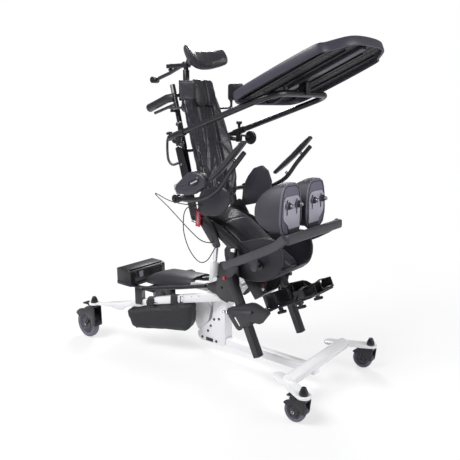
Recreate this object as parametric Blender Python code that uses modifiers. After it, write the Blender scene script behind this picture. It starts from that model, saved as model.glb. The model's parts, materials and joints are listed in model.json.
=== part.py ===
"""Powered standing frame: a seat on a tilting post frame over a four-caster base."""
import math

import bmesh
import bpy
from mathutils import Matrix, Vector

# Every length is in metres. X is the user's left, -Y is the way the user faces, Z is up.
# The object is laid out round the tower and shiftY then centres its footprint on the origin.
shiftY = 0.0093
gap = 0.0003            # between pieces that touch
wheelSides = 20
bigRound = 16           # sides of a housing and a large tube
smallRound = 8          # sides of a pin, a rod and a knob
holeSides = 12          # enough for an eight-sided pin to turn in

# Base
beamW = 0.038
beamBottom = 0.047
beamTop = 0.080
beamRear = 0.050
crossbarD = 0.046
crossbarY = -0.487
crossbarZ = 0.100
crossbarHalf = 0.200
armW = 0.050
armT = 0.008
armTop = 0.103
armRear = (0.185, -0.440)
plateT = 0.008
rearPlateTop = 0.172
legW = 0.022
legSplay = math.radians(19.9)
legRoot = (0.043, -0.025)

# Battery box
boxHalf = 0.107
boxFront, boxRear = 0.408, 0.500
boxBottom, boxTop = 0.228, 0.305
strapT = 0.002

# Casters
frontStem = (0.252, -0.580)
rearStem = (0.235, 0.507)
frontWheelD = 0.076
frontWheelW = 0.024
frontTrail = 0.030
rearWheelD = 0.127
rearWheelW = 0.028
rearTrail = 0.052
forkT = 0.003
forkSide = 0.002        # running clearance on each side of a wheel
stemR = 0.006
axleR = 0.004
bearingGap = 0.0005

# Tower and tilt pivot
towerW = 0.048
towerWall = 0.003
tiltY = -0.020
tiltZ = 0.305
housingR = 0.0175
housingEnd = 0.0545
cheekIn = 0.055
cheekT = 0.006

# Lift actuator
liftFootY = 0.045
liftFootZ = 0.098
rodEndY = -0.008
rodEndZ = 0.500
cylinderD = 0.034
cylinderLength = 0.300
rodD = 0.021
rodOverlap = 0.166
footPinR = 0.005
eyeT = 0.024
eyeR = 0.012

# Tilt actuator
tiltRodX = 0.048
tiltPinY = -0.008
tiltPinZ = 0.335
tiltLine = (0.9534, -0.3017)
barrelD = 0.022
tiltRodD = 0.010
barrelStart = 0.134
barrelLength = 0.150
tiltRodLength = 0.220

# Posts and side brackets
postW = 0.030
postTopY, postTopZ = -0.195, 0.408
postFootY, postFootZ = -0.326, 0.122
bracketX = 0.1295
bracketT = 0.006
postX = bracketX + bracketT / 2 + gap + postW / 2
stubY, stubZ = -0.135, 0.318
stubR = 0.012

# Foot support
footHingeY, footHingeZ = -0.292, 0.262
sleeveWall = 0.006
wingT = 0.003
footplateHalf = 0.120
footplateLength = 0.245
footplateLift = 0.012
footplateT = 0.005
sandalX = 0.060

# Knee support
kneeRailH = 0.032
kneeRailW = 0.024
kneeRailX = 0.160
kneeCross = (-0.459, 0.585)
kneePadX = 0.084
kneePlateY = -0.410
bracketSheet = 0.003
slotR = 0.0042
kneeKnob = ((0.053, 0.686), (0.114, 0.686))

# Seat
cushionHalf = 0.022
panT = 0.004
wallInner = 0.096
armSheetT = 0.004
pinR = 0.005
controlHalf = 0.048
kneeY, kneeZ = -0.300, 0.455
seatHalf = 0.110
hipY, hipZ = 0.005, 0.600

# Back
carrierX = seatHalf + 0.0100     # hip link, outside the seat's arm
carrierT = 0.004
backPlateX = carrierX + 0.0033
backPlateT = 0.004
hipPadX = carrierX + 0.0090
hipPadT = 0.011
backTubeR = 0.010
lateralX = 0.142
lateralPinX = 0.1225
lateralPivotY, lateralPivotZ = 0.112, 1.012
headY, headZ = 0.128, 1.194
headPostY = 0.150
headPostLow = 1.106
headPostR = 0.0095

# Armrests
armX = 0.213
armTubeR = 0.009
armPivotY, armPivotZ = 0.010, 0.682

# Tray
trayTubeR = 0.011
trayTubeX = 0.180
traySlope = math.radians(23.5)
trayRim = 0.030
trayHalf = 0.222
trayLength = 0.445
trayLowY, trayLowZ = -0.235, 1.020
trayRearY, trayRearZ = 0.075, 0.900
trayFrontY, trayFrontZ = -0.400, 1.057

# Cables
cableR = 0.002


def clearScene():
    """Empty the file, so that the model starts from nothing."""
    for obj in list(bpy.data.objects):
        bpy.data.objects.remove(obj, do_unlink=True)


def newCollection(name):
    coll = bpy.data.collections.new(name)
    bpy.context.scene.collection.children.link(coll)
    return coll


def material(name, colour, roughness, metallic=0.0):
    """Return the Principled material of this name, made on first use."""
    mat = bpy.data.materials.get(name)
    if mat is None:
        mat = bpy.data.materials.new(name)
        mat.use_nodes = True
        shader = mat.node_tree.nodes["Principled BSDF"]
        shader.inputs["Base Color"].default_value = (*colour, 1.0)
        shader.inputs["Roughness"].default_value = roughness
        shader.inputs["Metallic"].default_value = metallic
        mat.diffuse_color = (*colour, 1.0)
    return mat


def loose(name, data):
    obj = bpy.data.objects.new(name, data)
    bpy.context.scene.collection.objects.link(obj)
    return obj


def fromBmesh(name, bm):
    mesh = bpy.data.meshes.new(name)
    bmesh.ops.recalc_face_normals(bm, faces=bm.faces)
    bm.to_mesh(mesh)
    bm.free()
    return loose(name, mesh)


def place(obj, matrix):
    obj.matrix_world = matrix
    bpy.context.view_layer.update()
    return obj


def baked(obj):
    """Replace an object by its evaluated mesh in world space, with loose caps welded."""
    bpy.context.view_layer.update()
    graph = bpy.context.evaluated_depsgraph_get()
    evaluated = obj.evaluated_get(graph)
    mesh = bpy.data.meshes.new_from_object(evaluated, depsgraph=graph)
    mesh.transform(obj.matrix_world)
    bm = bmesh.new()
    bm.from_mesh(mesh)
    bmesh.ops.remove_doubles(bm, verts=bm.verts, dist=1e-6)
    bmesh.ops.recalc_face_normals(bm, faces=bm.faces)
    bm.to_mesh(mesh)
    bm.free()
    name = obj.name
    bpy.data.objects.remove(obj, do_unlink=True)
    return loose(name, mesh)


def combine(target, others, operation):
    """Join or cut solids with exact Booleans and return the result in world space."""
    target = baked(target)
    for other in others:
        tool = baked(other)
        mod = target.modifiers.new("Boolean", "BOOLEAN")
        mod.operation = operation
        mod.solver = "EXACT"
        mod.object = tool
        target = baked(target)
        bpy.data.objects.remove(tool, do_unlink=True)
    return target


def fuse(target, *others):
    return combine(target, others, "UNION")


def cut(target, *others):
    return combine(target, others, "DIFFERENCE")


def box(name, low, high, bevel=0.0, segments=1):
    """A box between two corners, with rounded edges where a bevel is given."""
    low, high = Vector(low), Vector(high)
    bm = bmesh.new()
    bmesh.ops.create_cube(bm, size=1.0)
    bmesh.ops.scale(bm, vec=high - low, verts=bm.verts)
    bmesh.ops.translate(bm, vec=(low + high) / 2, verts=bm.verts)
    obj = fromBmesh(name, bm)
    if bevel:
        mod = obj.modifiers.new("Bevel", "BEVEL")
        mod.width = bevel
        mod.segments = segments
        mod.limit_method = "ANGLE"
    return obj


def alongMatrix(start, direction):
    """The transform that puts local Z along a direction, from a start point."""
    turn = Vector(direction).to_track_quat("Z", "Y").to_matrix().to_4x4()
    return Matrix.Translation(Vector(start)) @ turn


def cylinder(name, start, end, radius, sides=bigRound, endRadius=None):
    start, end = Vector(start), Vector(end)
    length = (end - start).length
    bm = bmesh.new()
    bmesh.ops.create_cone(bm, cap_ends=True, segments=sides, radius1=radius,
                          radius2=radius if endRadius is None else endRadius, depth=length)
    bmesh.ops.translate(bm, vec=(0, 0, length / 2), verts=bm.verts)
    return place(fromBmesh(name, bm), alongMatrix(start, end - start))


def turned(name, profile, centre, axis, sides=bigRound):
    """A solid of revolution: profile points are (radius, height) along the axis."""
    mesh = bpy.data.meshes.new(name)
    count = len(profile)
    closed = profile[0][0] > 0 and profile[-1][0] > 0
    links = [(i, i + 1) for i in range(count - 1)]
    if closed:
        links.append((count - 1, 0))
    mesh.from_pydata([(r, 0, h) for r, h in profile], links, [])
    obj = loose(name, mesh)
    mod = obj.modifiers.new("Screw", "SCREW")
    mod.steps = sides
    mod.render_steps = sides
    mod.use_merge_vertices = True
    mod.merge_threshold = 0.00001
    place(obj, alongMatrix(centre, axis))
    return baked(obj)


def smoothPath(points, samples):
    """Read points off a centripetal curve through the given ones."""
    pts = [Vector(p) for p in points]
    pts = [2 * pts[0] - pts[1]] + pts + [2 * pts[-1] - pts[-2]]
    out = []
    for i in range(1, len(pts) - 2):
        a, b, c, d = pts[i - 1:i + 3]
        for k in range(samples):
            t = k / samples
            out.append(0.5 * ((2 * b) + (c - a) * t + (2 * a - 5 * b + 4 * c - d) * t * t
                              + (3 * b - a - 3 * c + d) * t ** 3))
    out.append(pts[-2])
    return out


def rounded(points, radius, steps=4):
    """Round the inner corners of a path with arcs of one radius."""
    pts = [Vector(p) for p in points]
    out = [pts[0]]
    for before, corner, after in zip(pts, pts[1:], pts[2:]):
        u = (before - corner).normalized()
        v = (after - corner).normalized()
        angle = u.angle(v)
        back = min(radius / math.tan(angle / 2), 0.45 * min((before - corner).length, (after - corner).length))
        bend = back * math.tan(angle / 2)
        middle = corner + (u + v).normalized() * (bend / math.sin(angle / 2))
        first = corner + u * back - middle
        last = corner + v * back - middle
        sweep = first.angle(last)
        for k in range(steps + 1):
            part = k / steps
            weight = math.sin(sweep)
            out.append(middle + first * (math.sin((1 - part) * sweep) / weight)
                       + last * (math.sin(part * sweep) / weight))
    out.append(pts[-1])
    return out


def rod(name, points, radius, resolution=2):
    """A round bar or tube along a path, with flat ends."""
    curve = bpy.data.curves.new(name, "CURVE")
    curve.dimensions = "3D"
    curve.bevel_depth = radius
    curve.bevel_resolution = resolution
    curve.use_fill_caps = True
    spline = curve.splines.new("POLY")
    spline.points.add(len(points) - 1)
    for target, point in zip(spline.points, points):
        target.co = (*point, 1.0)
    return baked(loose(name, curve))


def arc(cx, cy, radius, start, end, steps):
    """Points on an arc, angles in degrees."""
    out = []
    for k in range(steps + 1):
        a = math.radians(start + (end - start) * k / steps)
        out.append((cx + radius * math.cos(a), cy + radius * math.sin(a)))
    return out


def outlineCurve(name, loops, thickness):
    """A flat sheet in its own XY plane; loops after the first are holes."""
    curve = bpy.data.curves.new(name, "CURVE")
    curve.dimensions = "2D"
    curve.fill_mode = "BOTH"
    curve.extrude = thickness / 2
    for loop in loops:
        spline = curve.splines.new("POLY")
        spline.points.add(len(loop) - 1)
        spline.use_cyclic_u = True
        for target, (u, v) in zip(spline.points, loop):
            target.co = (u, v, 0.0, 1.0)
    return loose(name, curve)


def sheetYZ(name, loops, x, thickness):
    """A flat sheet whose outline is given as (Y, Z), centred on the plane at x."""
    obj = outlineCurve(name, loops, thickness)
    turn = Matrix(((0, 0, 1), (1, 0, 0), (0, 1, 0))).to_4x4()
    place(obj, Matrix.Translation((x, 0, 0)) @ turn)
    return baked(obj)


def sheetXY(name, loops, z, thickness):
    obj = outlineCurve(name, loops, thickness)
    place(obj, Matrix.Translation((0, 0, z)))
    return baked(obj)


def sheetOn(name, loops, matrix, thickness):
    obj = outlineCurve(name, loops, thickness)
    place(obj, matrix)
    return baked(obj)


def roundedLoop(points, radius, steps=1):
    """Round every corner of a closed outline; the radius gives way on short sides."""
    pts = [Vector((u, v, 0)) for u, v in points]
    out = []
    count = len(pts)
    for i in range(count):
        before, corner, after = pts[i - 1], pts[i], pts[(i + 1) % count]
        back = min(radius, 0.45 * (before - corner).length, 0.45 * (after - corner).length)
        first = corner + (before - corner).normalized() * back
        last = corner + (after - corner).normalized() * back
        for k in range(steps + 1):
            t = k / steps
            p = first * (1 - t) ** 2 + corner * 2 * t * (1 - t) + last * t * t
            out.append((p.x, p.y))
    return out


def loft(name, rings):
    """A closed solid through rings of equal point counts, with flat ends."""
    bm = bmesh.new()
    rows = [[bm.verts.new(p) for p in ring] for ring in rings]
    for low, high in zip(rows, rows[1:]):
        for i in range(len(low)):
            j = (i + 1) % len(low)
            bm.faces.new((low[i], low[j], high[j], high[i]))
    bm.faces.new(rows[0])
    bm.faces.new(rows[-1])
    return fromBmesh(name, bm)


def superellipse(count, halfU, halfV, power=4.0):
    """Points of a rounded rectangle, as (u, v)."""
    out = []
    for k in range(count):
        a = 2 * math.pi * (k + 0.5) / count
        c, s = math.cos(a), math.sin(a)
        out.append((math.copysign(abs(c) ** (2 / power), c) * halfU,
                    math.copysign(abs(s) ** (2 / power), s) * halfV))
    return out


def mirroredFrom(obj):
    """Move a finished world-space solid to the other side of the X = 0 plane."""
    obj.data.transform(Matrix.Scale(-1, 4, (1, 0, 0)))
    obj.data.flip_normals()
    return obj


def smooth(obj):
    obj.data.shade_smooth()
    obj.data.set_sharp_from_angle(angle=math.radians(35))
    return obj


def addBody(name, pivot=(0.0, 0.0, 0.0), parent=None):
    """An empty on a joint's axis; the solids of one rigid body hang from it."""
    empty = bpy.data.objects.new("body_" + name, None)
    parts.objects.link(empty)
    empty.empty_display_size = 0.03
    origin = Vector(pivot)
    if parent:
        empty.parent = bodies[parent][0]
        origin = origin - bodies[parent][1]
        empty.location = origin
    else:
        empty.location = origin + Vector((0, shiftY, 0))
    bodies[name] = (empty, Vector(pivot))


def add(name, obj, mat, owner):
    """Give a finished solid its name, material and parent, with its origin on the joint."""
    obj = baked(obj)
    empty, pivot = bodies[owner]
    obj.data.transform(Matrix.Translation(-pivot))
    obj.name = name
    obj.data.name = name
    obj.data.materials.clear()
    obj.data.materials.append(mat)
    smooth(obj)
    for coll in list(obj.users_collection):
        coll.objects.unlink(obj)
    parts.objects.link(obj)
    obj.parent = empty
    return obj


# Base frame

def towerOutline():
    return [(-0.066, 0.045), (0.076, 0.045), (0.087, 0.075), (0.004, 0.149), (-0.006, 0.200),
            (-0.004, 0.300), (0.000, 0.335), (-0.150, 0.345), (-0.155, 0.318), (-0.130, 0.286),
            (-0.075, 0.225), (-0.066, 0.190)]


def makeTower():
    """A folded channel, open to the rear, with the two fixed pivot housings."""
    tower = sheetYZ("tower", [roundedLoop(towerOutline(), 0.010)], 0, towerW)
    w = towerWall
    hollow = [(-0.066 + w, 0.000), (0.120, 0.000), (0.120, 0.400), (-0.148, 0.400),
              (-0.152, 0.319), (-0.127, 0.287), (-0.072, 0.226), (-0.066 + w, 0.190)]
    inner = sheetYZ("hollow", [hollow], 0, towerW - 2 * w)
    half = beamW / 2 + gap
    gate = box("gate", (-half, -0.080, 0.030), (half, -0.050, beamTop + gap))
    tower = cut(tower, inner, gate)
    for side in (-1, 1):
        housing = cylinder("housing", (side * (towerW / 2 - 0.001), tiltY, tiltZ),
                           (side * housingEnd, tiltY, tiltZ), housingR)
        tower = fuse(tower, housing)
    pin = cylinder("pin", (-towerW / 2 + 0.001, liftFootY, liftFootZ), (towerW / 2 - 0.001, liftFootY, liftFootZ),
                   footPinR, smallRound)
    return fuse(tower, pin)


def armSheet(side):
    """A round-ended arm from the crossbar to its caster, with the stem's hole."""
    start = Vector((side * armRear[0], armRear[1]))
    end = Vector((side * frontStem[0], frontStem[1]))
    heading = math.degrees(math.atan2((end - start).y, (end - start).x))
    r = armW / 2
    loop = arc(start.x, start.y, r, heading + 90, heading + 270, 8)
    loop += arc(end.x, end.y, r, heading - 90, heading + 90, 8)
    hole = arc(end.x, end.y, stemR + bearingGap, 0, 360, smallRound)[:-1]
    return sheetXY("arm", [loop, hole], armTop - armT / 2, armT)


def makeFrontFrame():
    beam = box("beam", (-beamW / 2, crossbarY, beamBottom), (beamW / 2, beamRear, beamTop), 0.004)
    bar = cylinder("crossbar", (-crossbarHalf, crossbarY, crossbarZ),
                   (crossbarHalf, crossbarY, crossbarZ), crossbarD / 2)
    return fuse(beam, bar, armSheet(-1), armSheet(1))


def legMatrix(side):
    """Local X runs back along the leg, local Y is up, local Z is across it."""
    along = Vector((side * math.sin(legSplay), math.cos(legSplay), 0))
    up = Vector((0, 0, 1))
    across = along.cross(up)
    turn = Matrix((along, up, across)).transposed().to_4x4()
    return Matrix.Translation((side * legRoot[0], legRoot[1], 0)) @ turn


def legLoop(grow=0.0):
    """The leg's side outline, as distance along it and height."""
    top = [(0.560, 0.1715), (0.530, 0.173), (0.390, 0.197), (0.275, 0.226), (0.154, 0.251), (-0.080, 0.290)]
    bottom = [(-0.080, 0.262), (0.000, 0.243), (0.154, 0.220), (0.275, 0.199), (0.395, 0.173),
              (0.422, 0.155), (0.450, 0.155), (0.480, 0.1645), (0.560, 0.1645)]
    return [(u, v + grow) for u, v in top] + [(u, v - grow) for u, v in bottom]


def legTop(along):
    """Height of the leg's top edge at a distance along it."""
    line = legLoop()[:6]
    for (u1, v1), (u0, v0) in zip(line, line[1:]):
        if u0 <= along <= u1:
            return v0 + (v1 - v0) * (along - u0) / (u1 - u0)
    return line[0][1]


def makeRearLeg(side):
    """A tapering bar from the tower's side to the rear caster's plate."""
    leg = sheetOn("leg", [legLoop()], legMatrix(side), legW)
    x, y = side * rearStem[0], rearStem[1]
    plate = cylinder("plate", (x, y, rearPlateTop - plateT), (x, y, rearPlateTop), 0.024)
    hole = cylinder("hole", (x, y, 0.10), (x, y, 0.20), stemR + bearingGap, smallRound)
    inner = side * (towerW / 2 + gap)
    keep = box("keep", (min(inner, -side * 0.2), -0.2, 0.1), (max(inner, -side * 0.2), 0.2, 0.4))
    return cut(fuse(leg, plate), hole, keep)


def makeRearCarrier():
    """Two tubes over the legs, clamped to them, and the tray that carries the box."""
    solids = []
    for side in (-1, 1):
        tube = rod("tube", [(side * 0.0535, 0.010, 0.302), (side * 0.094, 0.117, 0.284),
                            (side * 0.158, 0.300, 0.259)], 0.009)
        lug = box("lug", (min(side * 0.034, side * 0.0545), -0.010, 0.294),
                  (max(side * 0.034, side * 0.0545), 0.018, 0.310), 0.001)
        clamp = outlineCurve("clamp", [[(0.322, 0.196), (0.322, 0.267), (0.352, 0.267), (0.352, 0.196)]],
                             legW + 0.014)
        place(clamp, legMatrix(side))
        slot = sheetOn("slot", [legLoop(gap)], legMatrix(side), legW + 2 * gap)
        solids.append(fuse(tube, lug, cut(clamp, slot)))
    bar = rod("bar", [(-0.150, 0.300, 0.246), (0.150, 0.300, 0.246)], 0.008)
    carrier = fuse(solids[0], bar, solids[1])
    for x in (-0.070, 0.070):
        rail = box("rail", (x - 0.012, 0.292, 0.2197), (x + 0.012, 0.495, boxBottom - gap), 0.001)
        post = box("post", (x - 0.012, 0.293, 0.222), (x + 0.012, 0.307, 0.246), 0.001)
        carrier = fuse(carrier, rail, post)
    for side in (-1, 1):
        bore = cylinder("bore", (side * 0.020, tiltY, tiltZ), (side * 0.070, tiltY, tiltZ), housingR + gap)
        carrier = cut(carrier, bore)
    return carrier


def makeBatteryBox():
    side = [(boxFront, boxBottom), (boxRear, boxBottom), (boxRear, boxTop), (boxFront + 0.020, boxTop),
            (boxFront, boxTop - 0.008)]
    body = sheetYZ("box", [roundedLoop(side, 0.005, 2)], 0, 2 * boxHalf)
    for x in (-0.082, 0.082):
        body = fuse(body, box("rib", (x - 0.005, boxFront - 0.003, boxBottom + 0.004),
                              (x + 0.005, boxFront + 0.004, boxTop - 0.012)))
    return body


def makeTiltActuator():
    """The barrel of the tilt drive, open at its front end, with its motor and saddle."""
    start = Vector((tiltRodX, tiltPinY, tiltPinZ))
    line = Vector((0, tiltLine[0], tiltLine[1]))
    near, far = start + line * barrelStart, start + line * (barrelStart + barrelLength)
    barrel = cylinder("barrel", near, far, barrelD / 2, 16)
    motor = box("motor", (-0.020, far.y - 0.052, far.z - 0.006), (tiltRodX, far.y - 0.004, far.z + 0.026), 0.003)
    saddle = box("saddle", (-0.010, 0.2922, 0.2545), (tiltRodX + 0.008, 0.3078, far.z + 0.010))
    bridge = box("bridge", (-0.010, far.y - 0.02, 0.2545), (tiltRodX + 0.008, 0.300, far.z + 0.010))
    bore = cylinder("bore", near - line * 0.01, far - line * 0.006, tiltRodD / 2 + gap, smallRound)
    return cut(fuse(barrel, motor, bridge, saddle), bore)


def makeActuatorCover():
    """A tapering moulded hood, open below, over the tilt drive."""
    stations = ((0.085, 0.280, 0.320, 0.068), (0.130, 0.270, 0.318, 0.071), (0.200, 0.262, 0.313, 0.074),
                (0.286, 0.256, 0.306, 0.076), (0.340, 0.254, 0.288, 0.070), (0.360, 0.254, 0.272, 0.062))
    bm = bmesh.new()
    rows = []
    count = 12
    for y, low, high, half in stations:
        row = []
        for k in range(count + 1):
            a = math.pi * k / count
            u = math.copysign(abs(math.cos(a)) ** 0.55, math.cos(a)) * half
            v = abs(math.sin(a)) ** 0.7 * (high - low)
            row.append(bm.verts.new((u, y, low + v)))
        rows.append(row)
    for low, high in zip(rows, rows[1:]):
        for i in range(count):
            bm.faces.new((low[i], low[i + 1], high[i + 1], high[i]))
    bm.faces.new(rows[-1])
    hood = fromBmesh("hood", bm)
    mod = hood.modifiers.new("Solidify", "SOLIDIFY")
    mod.thickness = 0.0025
    mod.offset = -1.0
    return hood


def makeBag():
    """A soft pouch that hangs under the near leg from two webbing loops."""
    loop = [(0.395, 0.172), (0.385, 0.130), (0.360, 0.084), (0.105, 0.103), (0.088, 0.135), (0.085, 0.224),
            (0.154, 0.2165), (0.275, 0.1955), (0.375, 0.168)]
    bag = sheetOn("bag", [roundedLoop(loop, 0.012)], legMatrix(-1), 0.064)
    for low, high in ((0.128, 0.168), (0.270, 0.308)):
        over = strapT + gap
        band = [(low, 0.190), (high, 0.190), (high, legTop(high) + over), (low, legTop(low) + over)]
        strap = sheetOn("strap", [band], legMatrix(-1), legW + 0.005)
        bag = fuse(bag, strap)
    return cut(bag, sheetOn("slot", [legLoop(gap)], legMatrix(-1), legW + 2 * gap))


# Casters

def casterSizes(front):
    """Wheel diameter and width, trail, plate top and stem place of one caster."""
    if front:
        return frontWheelD, frontWheelW, frontTrail, armTop, armT, frontStem
    return rearWheelD, rearWheelW, rearTrail, rearPlateTop, plateT, rearStem


def makeFork(front):
    """A right caster fork with its crown, cheeks, axle, stem and the round cap over the plate."""
    d, w, trail, plateTop, thick, (x, y) = casterSizes(front)
    x = -x
    crownTop = plateTop - thick - gap
    inside = w / 2 + forkSide
    r = d / 2
    crownLow = crownTop - 0.011
    axleY = y + trail
    reach = 0.017
    cheek = [(y - reach, crownTop - 0.0006), (y + reach, crownTop - 0.0006), (axleY + 0.009, r + 0.002), (axleY + 0.006, r - 0.007),
             (axleY - 0.006, r - 0.007), (y - reach, crownLow - 0.004)]
    wide = inside + forkT * 0.6
    fork = box("crown", (x - wide, y - reach + 0.001, crownLow), (x + wide, y + reach - 0.001, crownTop))
    for s in (-1, 1):
        sheet = sheetYZ("cheek", [roundedLoop(cheek, 0.005, 1)], x + s * (inside + forkT / 2), forkT)
        fork = fuse(fork, sheet)
    axle = cylinder("axle", (x - inside - forkT - 0.002, axleY, r), (x + inside + forkT + 0.002, axleY, r),
                    axleR, 10)
    stem = cylinder("stem", (x, y, crownTop - 0.002), (x, y, plateTop + 0.004), stemR, smallRound)
    top = plateTop + gap
    cap = turned("cap", [(0, 0.029), (0.008, 0.026), (0.015, 0.010), (0.016, 0.0), (0, 0.0)],
                 (x, y, top), (0, 0, 1), 12)
    return fuse(fork, axle, stem, cap)


def makeWheel(side, front):
    d, w, trail, plateTop, thick, (x, y) = casterSizes(front)
    r, h = d / 2, w / 2
    hub = axleR + gap
    profile = [(hub, h * 0.80), (r * 0.66, h * 0.62), (r * 0.74, h), (r, h * 0.60)]
    profile += [(rr, -hh) for rr, hh in reversed(profile)]
    return turned("wheel", profile, (side * x, y + trail, r), (1, 0, 0), wheelSides)


def pedalPivot(side, front):
    d, w, trail, plateTop, thick, (x, y) = casterSizes(front)
    return (side * x, y + 0.0245, plateTop - thick - 0.0052)


def makePedal(side, front):
    """A foot brake: a barrel behind the crown and a flat tread over the wheel."""
    d, w, trail, plateTop, thick, stem = casterSizes(front)
    x, y, z = pedalPivot(side, front)
    half = w / 2 + forkSide - gap - 0.0005
    barrel = cylinder("barrel", (x - half, y, z), (x + half, y, z), 0.0045, smallRound)
    reach = 0.034 if front else 0.042
    tread = [(y - 0.001, z - 0.001), (y - 0.001, z + 0.0038), (y + reach - 0.004, z + 0.0038), (y + reach, z + 0.001),
             (y + reach - 0.002, z - 0.003), (y + 0.012, z - 0.0015)]
    return fuse(barrel, sheetYZ("tread", [tread], x, 2 * half))


def addCasters(mats):
    for front in (True, False):
        for side in (-1, 1):
            where = ("front_" if front else "rear_") + ("right" if side < 0 else "left")
            d, w, trail, plateTop, thick, (x, y) = casterSizes(front)
            addBody("fork_" + where, (side * x, y, plateTop), "base")
            addBody("wheel_" + where, (side * x, y + trail, d / 2), "fork_" + where)
            addBody("pedal_" + where, pedalPivot(side, front), "fork_" + where)
            fork = makeFork(front)
            if side > 0:
                fork = mirroredFrom(fork)
            add("caster_fork_" + where, fork, mats["blackPlastic"], "fork_" + where)
            add("caster_wheel_" + where, makeWheel(side, front), mats["greyTyre"], "wheel_" + where)
            add("brake_pedal_" + where, makePedal(side, front), mats["blackPlastic"], "pedal_" + where)


# Actuators

def liftLine():
    foot = Vector((0, liftFootY, liftFootZ))
    end = Vector((0, rodEndY, rodEndZ))
    return foot, end, (end - foot).normalized()


def makeLiftCylinder():
    """The white lift tube on its foot eye, with the black gear motor behind it."""
    foot, end, line = liftLine()
    tube = cylinder("tube", foot, foot + line * cylinderLength, cylinderD / 2)
    motor = [(0.100, 0.205), (0.108, 0.130), (0.086, 0.084), (0.066, 0.088), (0.026, 0.140), (0.014, 0.200),
             (0.050, 0.228)]
    case = sheetYZ("motor", [roundedLoop(motor, 0.008, 2)], 0, cylinderD + 0.002)
    bore = cylinder("bore", foot + line * 0.066, foot + line * (cylinderLength + 0.02),
                    rodD / 2 + gap, 16)
    pinHole = cylinder("pinHole", (-0.03, foot.y, foot.z), (0.03, foot.y, foot.z), footPinR + gap, holeSides)
    return cut(fuse(tube, case), bore, pinHole)


def makeLiftRod():
    foot, end, line = liftLine()
    reach = (end - foot).length
    inner = cylinder("rod", foot + line * (cylinderLength - rodOverlap), foot + line * (reach - 0.006), rodD / 2, 16)
    eye = cylinder("eye", (-eyeT / 2, end.y, end.z), (eyeT / 2, end.y, end.z), eyeR, 16)
    return fuse(inner, eye)


def makeTiltRod():
    start = Vector((tiltRodX, tiltPinY, tiltPinZ))
    line = Vector((0, tiltLine[0], tiltLine[1]))
    bar = cylinder("bar", start + line * 0.005, start + line * tiltRodLength, tiltRodD / 2, smallRound)
    eye = cylinder("eye", (tiltRodX - 0.004, start.y, start.z), (tiltRodX + 0.004, start.y, start.z), 0.009, 16)
    return fuse(bar, eye)


# Tilt frame

def postDirection():
    return Vector((0, postFootY - postTopY, postFootZ - postTopZ)).normalized()


def cheekLoop(withHorn):
    """The pivot cheek: a round end on the housing and a deep rounded lobe in front."""
    loop = arc(tiltY, tiltZ, 0.017, -60, 80, 6)
    if withHorn:
        loop = arc(tiltY, tiltZ, 0.017, -60, 45, 5)
        loop += arc(tiltPinY, tiltPinZ, 0.008, 0, 130, 4)
    loop += [(-0.045, 0.334), (-0.064, 0.346), (-0.090, 0.352), (-0.130, 0.343), (-0.149, 0.330), (-0.149, 0.306),
             (-0.136, 0.290), (-0.128, 0.273), (-0.106, 0.257), (-0.074, 0.265), (-0.050, 0.282)]
    return loop


def bracketLoop():
    return [(-0.118, 0.302), (-0.112, 0.345), (-0.124, 0.442), (-0.152, 0.452), (-0.217, 0.457), (-0.222, 0.350),
            (-0.207, 0.300), (-0.160, 0.297)]


def makeSideBracket(side):
    """The sheet bracket of one side: pivot cheek, cross stub and the plate at the post."""
    cheek = sheetYZ("cheek", [cheekLoop(side > 0)], side * (cheekIn + cheekT / 2), cheekT)
    stub = cylinder("stub", (side * (cheekIn + 0.002), stubY, stubZ), (side * (bracketX + bracketT / 2), stubY, stubZ),
                    stubR)
    plate = sheetYZ("plate", [roundedLoop(bracketLoop(), 0.008)], side * bracketX, bracketT)
    fitting = box("fitting", (side * 0.138 - 0.009, -0.214, 0.440), (side * 0.138 + 0.009, -0.186, 0.512), 0.004)
    return fuse(cheek, stub, plate, fitting)


def postEnds():
    low = Vector((0, postFootY, postFootZ))
    return low, low - postDirection() * 0.308


def makePost(side):
    """A square tube, open at its foot, along the user's lower leg."""
    low, high = postEnds()
    along = -postDirection()
    half = postW / 2
    turn = Matrix((Vector((1, 0, 0)), along.cross(Vector((1, 0, 0))), along)).transposed().to_4x4()
    length = (high - low).length
    post = box("post", (-half, -half, 0), (half, half, length), 0.003)
    place(post, Matrix.Translation((side * postX, low.y, low.z)) @ turn)
    bore = box("bore", (-half + 0.0025, -half + 0.0025, -0.01), (half - 0.0025, half - 0.0025, length - 0.004))
    place(bore, Matrix.Translation((side * postX, low.y, low.z)) @ turn)
    return cut(post, bore)


# Knee support

def kneeBracketLoop(side):
    """A slotted upright in front of a knee pad, as (X, Z), with its two slots."""
    outer = [(0.032, kneeCross[1] - 0.010), (0.032, 0.700), (0.046, 0.716), (0.122, 0.716), (0.136, 0.700),
             (0.136, 0.640), (0.104, 0.612), (0.100, kneeCross[1] - 0.010)]
    loops = [roundedLoop([(side * x, z) for x, z in outer], 0.008, 2)]
    for x, z in kneeKnob:
        r = slotR
        slot = arc(side * x, 0.702, r, 0, 180, 2) + arc(side * x, 0.654, r, 180, 360, 2)
        loops.append(slot)
    return loops


def frontMatrix(y):
    """Local X and Y are world X and Z, on the plane at this Y; local Z faces forward."""
    turn = Matrix(((1, 0, 0), (0, 0, -1), (0, 1, 0))).to_4x4()
    return Matrix.Translation((0, y, 0)) @ turn


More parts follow.
